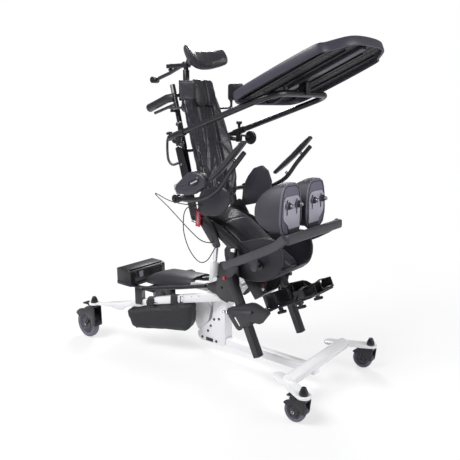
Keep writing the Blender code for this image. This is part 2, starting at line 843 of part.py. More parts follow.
def makeKneeBar():
    """The two side rails, the cross member and the slotted uprights of the knee support."""
    rail = superellipse(12, kneeRailW / 2, kneeRailH / 2, 5)
    solids = []
    for side in (-1, 1):
        x = side * kneeRailX
        outerX = side * 0.186
        path = [((x, -0.176, 0.443), (0, -0.905, 0.425)), ((x, -0.372, 0.535), (0, -0.890, 0.456)),
                ((side * 0.168, -0.412, 0.558), (0, -0.800, 0.600)),
                ((outerX, kneeCross[0] + 0.006, 0.590), (0, -0.700, 0.714))]
        rings = []
        for centre, heading in path:
            heading = Vector(heading).normalized()
            up = heading.cross(Vector((1, 0, 0)))
            rings.append([Vector(centre) + Vector((1, 0, 0)) * u + up * v for u, v in rail])
        solids.append(loft("rail", rings))
        upright = sheetOn("upright", kneeBracketLoop(side), frontMatrix(kneePlateY - gap - bracketSheet / 2),
                          bracketSheet)
        solids.append(upright)
    y, z = kneeCross
    cross = box("cross", (-0.186, y - 0.010, z - 0.016), (0.186, y + 0.010, z + 0.016), 0.004)
    shelf = box("shelf", (-0.136, y + 0.004, z - 0.012), (0.136, kneePlateY - gap, z - 0.006))
    for side in (-1, 1):
        lugLoop = arc(kneeY, kneeZ, 0.014, 180, 360, 6) + [(-0.282, 0.512), (-0.318, 0.520)]
        solids.append(sheetYZ("lug", [lugLoop], side * (kneeRailX - kneeRailW / 2 - 0.0015), 0.005))
        solids.append(cylinder("pin", (side * 0.1475, kneeY, kneeZ), (side * (seatHalf + 2 * gap), kneeY, kneeZ),
                               pinR, smallRound))
    strut = rod("strut", [(0.172, -0.268, 0.490), (0.172, -0.252, 0.402), (0.172, -0.236, 0.323)], 0.0065)
    knob = cylinder("knob", (0.172, -0.256, 0.352), (0.172, -0.226, 0.346), 0.009, smallRound)
    return fuse(cross, shelf, *solids, strut, knob)


def kneePadLoop(grow=0.0):
    """Half-symmetric outline of a knee plate about its own centre, as (X, Z)."""
    half = [(0.000, 0.762), (0.036, 0.760), (0.056, 0.738), (0.070, 0.668), (0.068, 0.612), (0.048, 0.580),
            (0.000, 0.572)]
    loop = half + [(-x, z) for x, z in reversed(half[1:-1])]
    middle = 0.668
    return [(math.copysign(max(abs(x) - grow, 0), x), middle + (z - middle) * (1 - grow / 0.095)) for x, z in loop]


def makeKneePad(side):
    """A cupped knee pad: front plate, side wings, and the two clamp knobs through the slots."""
    centre = side * kneePadX
    depth = 0.112
    wall = 0.012
    outer = roundedLoop([(centre + x, z) for x, z in kneePadLoop()], 0.020, 1)
    cup = sheetOn("cup", [outer], frontMatrix(kneePlateY + depth / 2), depth)
    hollow = roundedLoop([(centre + x, z) for x, z in kneePadLoop(wall)], 0.016, 1)
    lowest = [(centre - 0.056, 0.640), (centre + 0.056, 0.640), (centre + 0.044, 0.540), (centre - 0.044, 0.540)]
    inner = sheetOn("inner", [hollow], frontMatrix(kneePlateY + wall + depth / 2), depth)
    below = sheetOn("below", [lowest], frontMatrix(kneePlateY + wall + 0.002 + depth / 2), depth)
    profile = [(kneePlateY - 0.01, 0.55), (-0.364, 0.585), (-0.313, 0.622), (-0.300, 0.662), (-0.312, 0.702),
               (-0.340, 0.733), (-0.388, 0.765), (kneePlateY - 0.01, 0.790)]
    envelope = sheetYZ("envelope", [roundedLoop(profile, 0.012, 1)], centre, 0.2)
    pad = combine(cut(cup, inner, below), [envelope], "INTERSECT")
    for x, z in kneeKnob:
        stud = cylinder("stud", (side * x, kneePlateY + 0.004, z), (side * x, kneePlateY - 0.012, z), 0.0035, 8)
        front = kneePlateY - 2 * gap - bracketSheet
        knob = turned("knob", [(0, 0), (0.0125, 0.001), (0.0135, 0.008), (0.010, 0.014), (0, 0.015)][::-1],
                      (side * x, front, z), (0, -1, 0), 10)
        pad = fuse(pad, stud, knob)
    return pad


# Foot support

def footMatrix(x=0.0, along=0.0, lift=0.0):
    """Local Y runs forward over the platform, local Z up along the posts, local X to the user's right."""
    up = -postDirection()
    forward = Vector((0, -up.z, up.y))
    turn = Matrix((Vector((-1, 0, 0)), forward, up)).transposed().to_4x4()
    place3 = Vector((x, footHingeY, footHingeZ)) + forward * along + up * lift
    return Matrix.Translation(place3) @ turn


def makePostClamp(side):
    """A sleeve round the post, the sheet wing with its strap slot, and the platform's pivot pin."""
    half = postW / 2
    skin = half + sleeveWall
    up = -postDirection()
    ahead = (footHingeZ - postFootZ) * up.y - (footHingeY - postFootY) * up.z
    centre = footMatrix(side * postX, -ahead)
    sleeve = place(box("sleeve", (-skin, -skin, -0.020), (skin, ahead + 0.008, 0.020), 0.003), centre)
    hole = place(box("hole", (-half - gap, -half - gap, -0.05), (half + gap, half + gap, 0.05)), centre)
    sheetX = side * (postX + skin + wingT / 2 - 0.0005)
    wing = [(-0.193, 0.283), (-0.210, 0.295), (-0.319, 0.338), (-0.345, 0.333), (-0.368, 0.322), (-0.395, 0.318),
            (-0.354, 0.263), (-0.333, 0.259), (-0.300, 0.261), (-0.266, 0.222), (-0.257, 0.213), (-0.243, 0.213),
            (-0.200, 0.262)]
    slot = [(-0.259, 0.232), (-0.252, 0.230), (-0.229, 0.257), (-0.236, 0.262)]
    sheet = sheetYZ("wing", [roundedLoop(wing, 0.008), slot], sheetX, wingT)
    reach = side * (postX - skin + 0.002)
    pin = cylinder("pin", (reach, footHingeY, footHingeZ), (side * (footplateHalf - 0.012), footHingeY, footHingeZ),
                   footPinR, smallRound)
    return cut(fuse(sleeve, sheet, pin), hole)


def makeFootplate():
    """The platform sheet with its two hinge barrels and the slots of the sandal screws."""
    w, r = footplateHalf, 0.030
    outline = [(-w + 0.004, -0.004), (w - 0.004, -0.004), (w, 0.030), (w, 0.180), (w - 0.035, footplateLength),
               (-w + 0.035, footplateLength), (-w, 0.180), (-w, 0.030)]
    loops = [roundedLoop(outline, r)]
    for side in (-1, 1):
        for low in (0.060, 0.150):
            x = side * sandalX
            loops.append(arc(x, low + 0.030, slotR, 0, 180, 2) + arc(x, low, slotR, 180, 360, 2))
    plate = sheetOn("plate", loops, footMatrix(lift=footplateLift), footplateT)
    for side in (-1, 1):
        x0, x1 = side * (footplateHalf - 0.014), side * (footplateHalf + 0.005)
        barrel = cylinder("barrel", (x0, footHingeY, footHingeZ), (x1, footHingeY, footHingeZ), 0.0115, 12)
        hole = cylinder("hole", (side * 0.08, footHingeY, footHingeZ), (side * 0.15, footHingeY, footHingeZ),
                        footPinR + gap, holeSides)
        plate = cut(fuse(plate, barrel), hole)
    rib = box("rib", (-w + 0.020, 0.020, -0.002), (w - 0.020, 0.040, footplateLift), 0.002)
    return fuse(plate, place(rib, footMatrix()))


def makeSandal(side):
    """A shoe holder: sole, heel cup, toe bar posts, and two T screws through the platform."""
    x = -side * sandalX
    bottom = footplateLift + footplateT / 2 + gap
    soleT = 0.005
    sole = [(-0.030, 0.030), (0.030, 0.030), (0.040, 0.060), (0.046, 0.160), (0.036, 0.238), (-0.036, 0.238),
            (-0.046, 0.160), (-0.040, 0.060)]
    base = sheetOn("sole", [roundedLoop([(x + u, v) for u, v in sole], 0.020)],
                   footMatrix(lift=bottom + soleT / 2), soleT)
    out = arc(x, 0.062, 0.040, 180, 360, 6) + [(x + 0.042, 0.100), (x + 0.038, 0.100)]
    inside = arc(x, 0.062, 0.036, 360, 180, 6) + [(x - 0.038, 0.100), (x - 0.042, 0.100)]
    cup = sheetOn("cup", [out + inside], footMatrix(lift=bottom + 0.024), 0.046)
    sandal = fuse(base, cup)
    for s in (-1, 1):
        toe = box("toe", (x + s * 0.039 - 0.003, 0.178, bottom + 0.001),
                  (x + s * 0.039 + 0.003, 0.222, bottom + 0.034), 0.002, 1)
        sandal = fuse(sandal, place(toe, footMatrix()))
    for along in (0.075, 0.165):
        stud = cylinder("stud", (x, along, -0.012), (x, along, bottom + 0.002), 0.0032, 8)
        grip = box("grip", (x - 0.007, along - 0.019, -0.020), (x + 0.007, along + 0.019, -0.009), 0.003, 1)
        collar = cylinder("collar", (x, along, -0.011), (x, along, footplateLift - footplateT / 2 - gap), 0.009, 8)
        for piece in (stud, grip, collar):
            place(piece, footMatrix() @ piece.matrix_world)
        sandal = fuse(sandal, collar, grip, stud)
    return sandal


# Seat

seatLine = [(0.026, 0.604), (-0.060, 0.588), (-0.110, 0.568), (-0.160, 0.538), (-0.275, 0.461), (-0.344, 0.416)]


def offsetLine(points, distance):
    """Move an open line sideways by a distance; positive is up for a line that runs forward."""
    pts = [Vector(p) for p in points]
    out = []
    for i, p in enumerate(pts):
        before = pts[max(i - 1, 0)]
        after = pts[min(i + 1, len(pts) - 1)]
        way = (after - before).normalized()
        out.append((p.x + way.y * distance, p.y - way.x * distance))
    return out


def makeSeatFrame():
    """The pan, its side arms from the knee pivots to the hip pivots, and the lift rod's ears."""
    top = offsetLine(seatLine[:-1], -(cushionHalf + gap))
    low = offsetLine(seatLine[:-1], -(cushionHalf + gap + panT))
    frame = sheetYZ("pan", [top + low[::-1]], 0, 2 * wallInner - 2 * gap)
    bridgeTop = offsetLine(seatLine[:3], -(cushionHalf + 3 * gap))
    bridgeLow = offsetLine(seatLine[:3], -(cushionHalf + 3 * gap + panT))
    wide = sheetYZ("wide", [bridgeTop + bridgeLow[::-1]], 0, 2 * (seatHalf + gap + armSheetT * 0.6))
    x = seatHalf + gap + armSheetT / 2
    frame = fuse(frame, wide)
    arm = arc(kneeY, kneeZ, 0.016, 120, 300, 5)
    arm += [(-0.200, 0.470), (-0.100, 0.538), (-0.020, 0.568)]
    arm += arc(hipY, hipZ, 0.016, -60, 110, 5)
    arm += [(-0.110, 0.583)]
    for side in (-1, 1):
        holes = [arc(kneeY, kneeZ, pinR + gap, 0, 360, holeSides)[:-1], arc(hipY, hipZ, pinR + gap, 0, 360, holeSides)[:-1]]
        plate = sheetYZ("arm", [arm] + holes, side * x, armSheetT)
        ear = [(0.010, 0.5763), (-0.028, 0.5693), (-0.022, 0.494), (-0.008, 0.486), (0.004, 0.494)]
        lug = sheetYZ("ear", [ear], side * (eyeT / 2 + 0.001 + 0.0025), 0.005)
        frame = fuse(frame, plate, lug)
    return frame


def sweptCushion(name, stations, count=16, bend=0.0, power=3.0):
    """A padded form through sections: mid-line point, slope, half width, half depth and side bend."""
    rings = []
    for (y, z), angle, half, depth, bend in stations:
        a = math.radians(angle)
        up = Vector((0, -math.sin(a), math.cos(a)))
        ring = []
        for u, v in superellipse(count, half, depth, power):
            crown = 0.14 * depth * (1 - (u / half) ** 2) if v > 0 else 0.0
            ring.append(Vector((u, y, z)) + up * (v + crown + bend * (u / half) ** 2))
        rings.append(ring)
    return loft(name, rings)


def makeSeatCushion():
    h = cushionHalf * 0.97
    half = wallInner - 0.0015
    stations = (((0.030, 0.603), 12, half * 0.90, h * 0.55, 0), ((0.010, 0.602), 12, half * 0.97, h * 0.92, 0),
                ((-0.050, 0.591), 15, half, h, 0), ((-0.110, 0.569), 25, half, h * 0.97, 0),
                ((-0.160, 0.538), 32, half, h, 0), ((-0.218, 0.499), 34, half, h, 0),
                ((-0.275, 0.461), 34, half, h, 0), ((-0.320, 0.432), 33, half, h, 0),
                ((-0.342, 0.418), 33, half * 0.94, h * 0.55, 0))
    return sweptCushion("cushion", stations)


skirtLow = [(-0.140, 0.428), (-0.216, 0.383), (-0.302, 0.390), (-0.366, 0.415)]


def makeSeatCover():
    """The skirt under the seat front with a raised cheek on each side of the thighs."""
    loop = [(-0.132, 0.508), (-0.126, 0.470)] + skirtLow
    loop += [(-0.396, 0.462), (-0.394, 0.520), (-0.374, 0.556), (-0.330, 0.566), (-0.262, 0.548)]
    skirt = sheetYZ("skirt", [roundedLoop(loop, 0.018)], 0, 2 * seatHalf)
    void = offsetLine(seatLine, -(cushionHalf + panT + 2.5 * gap))
    void = [(0.10, void[0][1])] + void + [(-0.356, 0.428), (-0.420, 0.468), (-0.420, 0.700), (0.100, 0.700)]
    space = sheetYZ("void", [void], 0, 2 * wallInner)
    mod = skirt.modifiers.new("Bevel", "BEVEL")
    mod.width = 0.006
    mod.segments = 1
    mod.angle_limit = math.radians(50)
    return cut(skirt, space)


def makeControlBox():
    """The moulded box under the skirt; its upper faces lie against the skirt."""
    line = [(y, z - gap) for y, z in skirtLow]
    loop = [(-0.165, line[0][1] - 0.0155), (-0.168, 0.377), (-0.233, 0.292), (-0.283, 0.331),
            (-0.296, line[2][1] - 0.001), line[1]]
    body = sheetYZ("box", [loop], 0, 2 * controlHalf)
    mod = body.modifiers.new("Bevel", "BEVEL")
    mod.width = 0.003
    mod.segments = 1
    rocker = box("rocker", (-0.010, -0.006, -0.002), (0.006, 0.006, 0.002), 0.001)
    slope = Vector((0, -0.296 + 0.283, line[2][1] - 0.331)).normalized()
    out = Vector((0, -slope.z, slope.y))
    turn = Matrix((Vector((1, 0, 0)), slope, Vector((1, 0, 0)).cross(slope))).transposed().to_4x4()
    place(rocker, Matrix.Translation(Vector((0.008, -0.286, 0.350)) + out * 0.0005) @ turn)
    return fuse(body, rocker)


# Back

def makeCarrierPlate(side):
    """The sheet link at the hip, with its pin through the seat arm and the back frame."""
    loop = [(0.012, 0.618), (-0.032, 0.650), (-0.056, 0.625), (-0.100, 0.560), (-0.127, 0.500), (-0.095, 0.489),
            (-0.061, 0.527), (-0.020, 0.578), (0.014, 0.588)]
    plate = sheetYZ("plate", [roundedLoop(loop, 0.008)], side * carrierX, carrierT)
    pin = cylinder("pin", (side * (seatHalf + 2 * gap), hipY, hipZ), (side * (backPlateX + backPlateT), hipY, hipZ),
                   pinR, smallRound)
    post = cylinder("post", (side * (carrierX + 0.001), -0.040, 0.622), (side * (hipPadX - 0.003), -0.040, 0.622),
                    0.005, 8)
    return fuse(plate, pin, post)


def makeHipPad(side):
    """A moulded guide beside the hip, curved in at its front."""
    if side < 0:
        loop = [(-0.024, 0.690), (-0.090, 0.728), (-0.151, 0.736), (-0.196, 0.690), (-0.141, 0.622), (-0.030, 0.612)]
    else:
        loop = [(-0.040, 0.700), (-0.074, 0.758), (-0.109, 0.788), (-0.153, 0.787), (-0.186, 0.709),
                (-0.136, 0.640), (-0.030, 0.612)]
    pad = sheetYZ("pad", [roundedLoop(loop, 0.020)], side * (hipPadX + hipPadT / 2), hipPadT)
    mod = pad.modifiers.new("Bevel", "BEVEL")
    mod.width = 0.003
    mod.segments = 1
    mod.angle_limit = math.radians(50)
    return pad


def backPoint(z, ahead=0.0):
    """A point on the back's reference line, which leans back from hip to shoulder."""
    t = (z - 0.740) / (1.098 - 0.740)
    return (0.046 + t * (0.134 - 0.046) - ahead, z)


def makeBackFrame():
    """Side plates from the hip pivots, two uprights, cross bars, the arm stubs and push handles."""
    solids = []
    for side in (-1, 1):
        x = side * (backPlateX + backPlateT / 2)
        loop = arc(hipY, hipZ, 0.015, 180, 330, 5)
        loop += [(0.050, 0.700), (0.095, 0.860), (0.080, 0.868), (0.060, 0.862), (0.012, 0.720), (-0.010, 0.640)]
        hole = arc(hipY, hipZ, pinR + gap, 0, 360, holeSides)[:-1]
        solids.append(sheetYZ("plate", [loop, hole], x, backPlateT))
        y0, z0 = backPoint(0.745)
        y1, z1 = backPoint(1.100)
        solids.append(rod("upright", [(side * 0.095, y0, z0), (side * 0.095, y1, z1)], backTubeR))
        stub = cylinder("stub", (side * (backPlateX + 0.001), armPivotY, armPivotZ),
                        (side * (armX - armTubeR - gap), armPivotY, armPivotZ), 0.009, 16)
        shaft = cylinder("shaft", (side * (armX - 0.02), armPivotY, armPivotZ),
                         (side * (armX + 0.014), armPivotY, armPivotZ), pinR, smallRound)
        solids += [stub, shaft]
    for z in (0.765, 0.850, 1.060):
        y, _ = backPoint(z)
        half = backPlateX + 0.002 if z < 0.9 else 0.095
        solids.append(rod("bar", [(-half, y, z), (half, y, z)], 0.0075))
    for x, sign in ((-0.100, -1), (0.100, 1)):
        y, z = backPoint(1.046)
        grip = rod("grip", [(x, y - 0.002, z + 0.006), (x, 0.160, 1.047), (x, 0.262, 1.011)], 0.0165, 3)
        thin = rod("thin", [(x, y - 0.008, z - 0.019), (x, 0.230, 0.992)], 0.006)
        solids += [grip, thin]
    solids.append(box("topPlate", (-0.060, 0.130, 1.040), (0.060, 0.136, 1.118), 0.002))
    solids.append(cylinder("socket", (0, headPostY, 1.085), (0, headPostY, 1.160), headPostR + 0.0035))
    solids.append(box("socketArm", (-0.012, 0.128, 1.086), (0.012, 0.150, 1.110), 0.001))
    solids += [trayClampSolids(-1), trayClampSolids(1)]
    for side in (-1, 1):
        y, z = lateralPivotY, lateralPivotZ
        solids.append(cylinder("pin", (side * lateralPinX, y, z - 0.014), (side * lateralPinX, y, z + 0.014), 0.004, smallRound))
        solids.append(box("tab", (min(side * 0.095, side * 0.1265), y - 0.006, z - 0.016),
                          (max(side * 0.095, side * 0.1265), y + 0.006, z - 0.0058)))
    bore = cylinder("bore", (0, headPostY, headPostLow - 0.010), (0, headPostY, 1.2), headPostR + 0.0004)
    return cut(fuse(solids[2], *solids[:2], *solids[3:]), bore)


def makeBackCushion():
    """A contoured back cushion: sides that come forward, most of all low down."""
    rings = []
    rows = ((0.660, 0.100, 0.013, 0.010), (0.676, 0.106, 0.020, 0.020), (0.740, 0.112, 0.022, 0.032),
            (0.800, 0.116, 0.022, 0.040), (0.880, 0.117, 0.022, 0.036), (0.960, 0.114, 0.022, 0.026),
            (1.030, 0.107, 0.021, 0.014), (1.085, 0.096, 0.018, 0.008), (1.104, 0.084, 0.010, 0.004))
    lean = math.radians(19.0)
    ahead = Vector((0, -math.cos(lean), -math.sin(lean) * 0.35)).normalized()
    for z, half, depth, bend in rows:
        y, _ = backPoint(z, backTubeR + 0.0285)
        ring = []
        for u, v in superellipse(20, half, depth, 3.2):
            channel = 0.0045 * math.exp(-((abs(u) - 0.040) / 0.010) ** 2) if v > 0 else 0.0
            side = bend * (u / half) ** 2 * (1.0 if v > 0 else 0.72)
            ring.append(Vector((u, y, z)) + ahead * (v - channel + side))
        rings.append(ring)
    return loft("cushion", rings)


def makeShoulderPad():
    """The small pad at the top of the back, a narrower cushion in front of the main one."""
    rings = []
    for z, half, depth in ((1.020, 0.052, 0.004), (1.030, 0.060, 0.008), (1.075, 0.066, 0.009),
                           (1.112, 0.062, 0.008), (1.122, 0.052, 0.004)):
        y, _ = backPoint(z, backTubeR + 0.0285 + 0.0345)
        rings.append([Vector((u, y - v, z)) for u, v in superellipse(14, half, depth, 3.0)])
    return loft("pad", rings)


def makeLateralPad(side):
    """A small side pad on its swing arm, which turns on a pin at the back upright."""
    x = side * lateralX
    pad = box("pad", (x - 0.009, -0.030, 1.040), (x + 0.009, 0.052, 1.112), 0.008)
    arm = box("arm", (min(x, side * 0.148), 0.030, 1.062), (max(x, side * 0.148), 0.040, 1.088), 0.002)
    y, z = lateralPivotY, lateralPivotZ
    link = sheetXY("link", [roundedLoop([(side * 0.112, y - 0.012), (side * 0.112, y + 0.012), (side * 0.150, y + 0.004),
                                         (side * 0.150, 0.028), (side * 0.140, 0.028)], 0.006)], z, 0.010)
    arm2 = box("arm2", (min(side * 0.140, side * 0.150), 0.028, z - 0.007),
               (max(side * 0.140, side * 0.150), 0.041, 1.085))
    pad = fuse(pad, arm, arm2, link)
    hole = cylinder("hole", (side * lateralPinX, y, z - 0.05), (side * lateralPinX, y, z + 0.05), 0.0044, smallRound)
    return cut(pad, hole)


def makeHeadrestRod():
    """The head support's stem: post in the socket, offset arm, lever and tilt ball."""
    solids = [cylinder("post", (0, headPostY, headPostLow), (0, headPostY, 1.190), headPostR)]
    solids.append(box("clamp", (-0.014, 0.134, 1.170), (0.014, 0.250, 1.186), 0.003))
    solids.append(rod("bar", [(0, 0.132, 1.192), (0, 0.240, 1.152), (0, 0.345, 1.122)], 0.0075))
    solids.append(rod("lever", [(0.012, 0.196, 1.180), (0.030, 0.262, 1.187)], 0.005))
    solids.append(cylinder("hub", (-0.016, 0.330, 1.128), (0.016, 0.330, 1.128), 0.013, 16))
    solids.append(cylinder("ball", (-0.012, headY, headZ), (0.012, headY, headZ), 0.010, 16))
    return fuse(*solids)


def makeHeadrestPad():
    """The winged head pad on its back plate, with the two ears that straddle the ball."""
    rings = []
    count = 18
    tilt = math.radians(28)
    up = Vector((0, math.sin(tilt), math.cos(tilt)))
    ahead = Vector((0, -math.cos(tilt), math.sin(tilt)))
    for w in (-1.0, -0.93, -0.70, -0.35, 0.0, 0.35, 0.70, 0.93, 1.0):
        x = w * 0.112
        reach = 0.044 * w * w
        half = 0.045 * (1 - 0.25 * w * w) * (0.62 if abs(w) == 1 else 1)
        thick = 0.017 * (0.45 if abs(w) == 1 else 1)
        centre = Vector((x, 0.075, 1.194)) + ahead * reach
        rings.append([centre + up * u + ahead * v for u, v in superellipse(count, half, thick, 2.6)])
    pad = loft("pad", rings)
    for s in (-1, 1):
        ear = sheetYZ("ear", [roundedLoop([(0.078, 1.172), (0.118, 1.172), (headY + 0.010, headZ - 0.006),
                                           (headY + 0.006, headZ + 0.010), (0.088, 1.204)], 0.003, 1)],
                      s * 0.0155, 0.005)
        pad = fuse(pad, ear)
    return pad


def armPath():
    return [(0.010, 0.682), (-0.060, 0.684), (-0.128, 0.698), (-0.195, 0.737), (-0.245, 0.800), (-0.304, 0.866)]


def makeArmrest(side):
    """The flip-up arm tube with its hub and the struts under the pad."""
    x = side * armX
    path = smoothPath([(x, y, z) for y, z in armPath()], 4)
    tube = rod("tube", path[2:], armTubeR)
    hub = cylinder("hub", (x - 0.009, armPivotY, armPivotZ), (x + 0.009, armPivotY, armPivotZ), 0.0165, bigRound)
    link = sheetYZ("link", [[(armPivotY - 0.004, armPivotZ - 0.015), (armPivotY - 0.002, armPivotZ + 0.012),
                             (-0.030, 0.690), (-0.030, 0.678)]], x, 0.014)
    arm = fuse(tube, hub, link)
    for y, z, up in ((-0.205, 0.748, 0.012), (-0.272, 0.829, 0.012)):
        start = Vector((x, y, z))
        lift = Vector((0, 0.70, 0.71)) * up * 1.35
        arm = fuse(arm, cylinder("strut", start, start + lift, 0.006, 8))
    hole = cylinder("hole", (x - 0.03, armPivotY, armPivotZ), (x + 0.03, armPivotY, armPivotZ), pinR + gap,
                    holeSides)
    return cut(arm, hole)


def makeArmPad(side):
    """The padded bar over the arm tube, cut where the struts hold it."""
    x = side * armX
    rear = (-0.157, 0.766) if side < 0 else (-0.139, 0.751)
    centre = [rear, (-0.186, 0.790), (-0.225, 0.824), (-0.270, 0.868), (-0.306, 0.903)]
    rings = []
    for i, (y, z) in enumerate(centre):
        before = Vector((0, *centre[max(i - 1, 0)]))
        after = Vector((0, *centre[min(i + 1, len(centre) - 1)]))
        along = (after - before).normalized()
        up = along.cross(Vector((1, 0, 0)))
        if up.z < 0:
            up = -up
        end = 0.8 if i in (0, len(centre) - 1) else 1.0
        rings.append([Vector((x + u, y, z)) + up * v for u, v in superellipse(12, 0.0185 * end, 0.011 * end, 3)])
    return loft("pad", rings)


def makeElbowBlock():
    """The moulded elbow block over the near arm's rear, with its long recess."""
    x = -armX - 0.0035
    loop = [(0.004, 0.732), (-0.072, 0.793), (-0.140, 0.782), (-0.153, 0.748), (-0.072, 0.7005), (0.005, 0.7075)]
    block = sheetYZ("block", [roundedLoop(loop, 0.014)], x, 0.030)
    mod = block.modifiers.new("Bevel", "BEVEL")
    mod.width = 0.004
    mod.segments = 1
    mod.angle_limit = math.radians(50)
    recess = [(-0.040, 0.738), (-0.036, 0.728), (-0.112, 0.745), (-0.116, 0.757)]
    slot = sheetYZ("recess", [roundedLoop(recess, 0.004, 2)], x - 0.017, 0.010)
    return cut(block, slot)


# Tray

def traySurface(y, lift=0.0):
    """Height of the tray's underside plane at a place along it."""
    return trayLowZ + (trayLowY - y) * math.tan(traySlope) + lift


def trayMatrix(lift=0.0):
    """Local X is world X, local Y runs up the tray to the front, local Z is out of its top."""
    forward = Vector((0, -math.cos(traySlope), math.sin(traySlope)))
    up = Vector((0, math.sin(traySlope), math.cos(traySlope)))
    turn = Matrix((Vector((-1, 0, 0)), forward, up)).transposed().to_4x4()
    return Matrix.Translation(Vector((0, trayLowY, trayLowZ)) + up * lift) @ turn


def trayLoop(inset=0.0):
    """The tray's outline: straight rear, bowed sides and a rounded front, as (X, along)."""
    w, n = trayHalf - inset, trayLength - inset
    right = [(w * 0.55, inset), (w * 0.84, 0.012 + inset), (w * 0.97, 0.050), (w, 0.130), (w * 0.99, 0.260),
             (w * 0.93, 0.360), (w * 0.80, n * 0.86), (w * 0.55, n * 0.96), (w * 0.25, n * 0.995)]
    return right + [(-x, y) for x, y in reversed(right)]


def makeTray():
    """A shallow moulded tray: deck, deep rim, ribs under the deck, the rail and the rear handle."""
    body = sheetOn("body", [roundedLoop(trayLoop(), 0.030, 1)], trayMatrix(trayRim / 2), trayRim)
    deck = 0.004
    under = sheetOn("under", [roundedLoop(trayLoop(0.006), 0.028, 1)],
                    trayMatrix((trayRim - deck) / 2 - 0.010), trayRim - deck + 0.0)
    tray = cut(body, under)
    for x in (-0.150, -0.060, 0.060, 0.150):
        rib = box("rib", (x - 0.0015, 0.012, 0.010), (x + 0.0015, trayLength * 0.86, 0.018))
        tray = fuse(tray, place(rib, trayMatrix()))
    rail = box("rail", (-0.018, 0.120, 0.004), (0.018, trayLength * 0.93, 0.019), 0.003)
    return fuse(tray, place(rail, trayMatrix()), makeTrayHook())


def trayLegPoint(y):
    """A point on the straight side leg of the tray tube, as (Y, Z)."""
    t = (y - trayRearY) / (trayFrontY - trayRearY)
    return (y, trayRearZ + t * (trayFrontZ - trayRearZ))


def makeTrayFrame():
    """The U-shaped tray tube: two straight legs and the rounded front run under the tray."""
    x = trayTubeX
    path = [(-x, trayRearY, trayRearZ), (-x, trayFrontY, trayFrontZ), (x, trayFrontY, trayFrontZ),
            (x, trayRearY, trayRearZ)]
    return rod("tube", rounded(path, 0.060, 5), trayTubeR, 3)


def makeTrayHook():
    """The saddle between the tray's rail and the front run of the tube."""
    y, z = trayFrontY, trayFrontZ
    top = traySurface(y) + 0.006
    saddle = box("saddle", (-0.014, y - 0.016, z - 0.004), (0.014, y + 0.016, top), 0.002)
    bore = cylinder("bore", (-0.05, y, z), (0.05, y, z), trayTubeR + gap)
    return cut(saddle, bore)


def makeCable(points):
    return rod("cable", smoothPath(points, 3), cableR)


def trayClampSolids(side):
    """The sleeve on a tray leg, its knobs and ball joint, and the bar from the back upright."""
    x = side * trayTubeX
    front = Vector((x, *trayLegPoint(-0.004)))
    rear = Vector((x, *trayLegPoint(0.046)))
    sleeve = cylinder("sleeve", front, rear, 0.0138)
    middle = (front + rear) / 2
    ball = cylinder("ball", middle + Vector((0, 0, -0.044)), middle + Vector((0, 0, -0.012)), 0.0135, 12)
    knob = turned("knob", [(0, 0.030), (0.011, 0.028), (0.0135, 0.018), (0.006, 0.012), (0.006, 0), (0, 0)],
                  middle + Vector((0, 0, 0.014)), (0, 0, 1), 10)
    y, z = backPoint(0.890)
    low = middle + Vector((0, 0, -0.034))
    path = rounded([(side * 0.095, y, z), (side * 0.150, y, z), (x, low.y, low.z)], 0.020, 3)
    bar = rod("bar", path, 0.0085)
    solid = fuse(sleeve, ball, knob, bar)
    bore = cylinder("bore", front + (front - rear), rear + (rear - front), trayTubeR + gap)
    return cut(solid, bore)


def makeMaterials():
    return {
        "whitePaint": material("white_paint", (0.86, 0.86, 0.88), 0.35),
        "whiteTube": material("white_tube", (0.88, 0.88, 0.90), 0.30),
        "blackPaint": material("black_paint", (0.035, 0.034, 0.042), 0.45),
        "blackPlastic": material("black_plastic", (0.040, 0.039, 0.048), 0.50),
        "greyPlastic": material("grey_plastic", (0.13, 0.13, 0.15), 0.50),
        "greyTyre": material("grey_tyre", (0.17, 0.17, 0.22), 0.60),
        "chrome": material("chrome", (0.75, 0.75, 0.77), 0.15, 1.0),
        "softBlack": material("soft_black", (0.025, 0.024, 0.030), 0.55),
        "softGrey": material("soft_grey", (0.055, 0.052, 0.068), 0.60),
        "cable": material("cable", (0.03, 0.03, 0.035), 0.50),
    }


def addBase(mats):
    add("tower", makeTower(), mats["whitePaint"], "base")
    add("front_frame", makeFrontFrame(), mats["whitePaint"], "base")
    add("rear_leg_right", makeRearLeg(-1), mats["whitePaint"], "base")
    add("rear_leg_left", makeRearLeg(1), mats["whitePaint"], "base")
    add("rear_carrier", makeRearCarrier(), mats["blackPaint"], "base")
    add("battery_box", makeBatteryBox(), mats["blackPlastic"], "base")
    add("tilt_actuator", makeTiltActuator(), mats["blackPlastic"], "base")
    add("actuator_cover", makeActuatorCover(), mats["greyPlastic"], "base")
    add("accessory_bag", makeBag(), mats["softBlack"], "base")


def addActuators(mats):
    foot, end, line = liftLine()
    addBody("tilt_rod", (tiltRodX, tiltPinY, tiltPinZ), "base")
    add("tilt_rod", makeTiltRod(), mats["chrome"], "tilt_rod")
    addBody("lift_cylinder", foot, "base")
    add("lift_cylinder", makeLiftCylinder(), mats["whiteTube"], "lift_cylinder")
    addBody("lift_rod", end, "lift_cylinder")
    add("lift_rod", makeLiftRod(), mats["chrome"], "lift_rod")


def addTiltFrame(mats):
    addBody("tilt_frame", (0, tiltY, tiltZ), "base")
    for side, name in ((-1, "right"), (1, "left")):
        add("side_bracket_" + name, makeSideBracket(side), mats["blackPaint"], "tilt_frame")
        add("leg_post_" + name, makePost(side), mats["blackPaint"], "tilt_frame")
    add("knee_support_bar", makeKneeBar(), mats["greyPlastic"], "tilt_frame")
    for side, name in ((-1, "right"), (1, "left")):
        addBody("knee_pad_" + name, (side * kneePadX, kneePlateY, 0.670), "tilt_frame")
        add("knee_pad_" + name, makeKneePad(side), mats["softGrey"], "knee_pad_" + name)


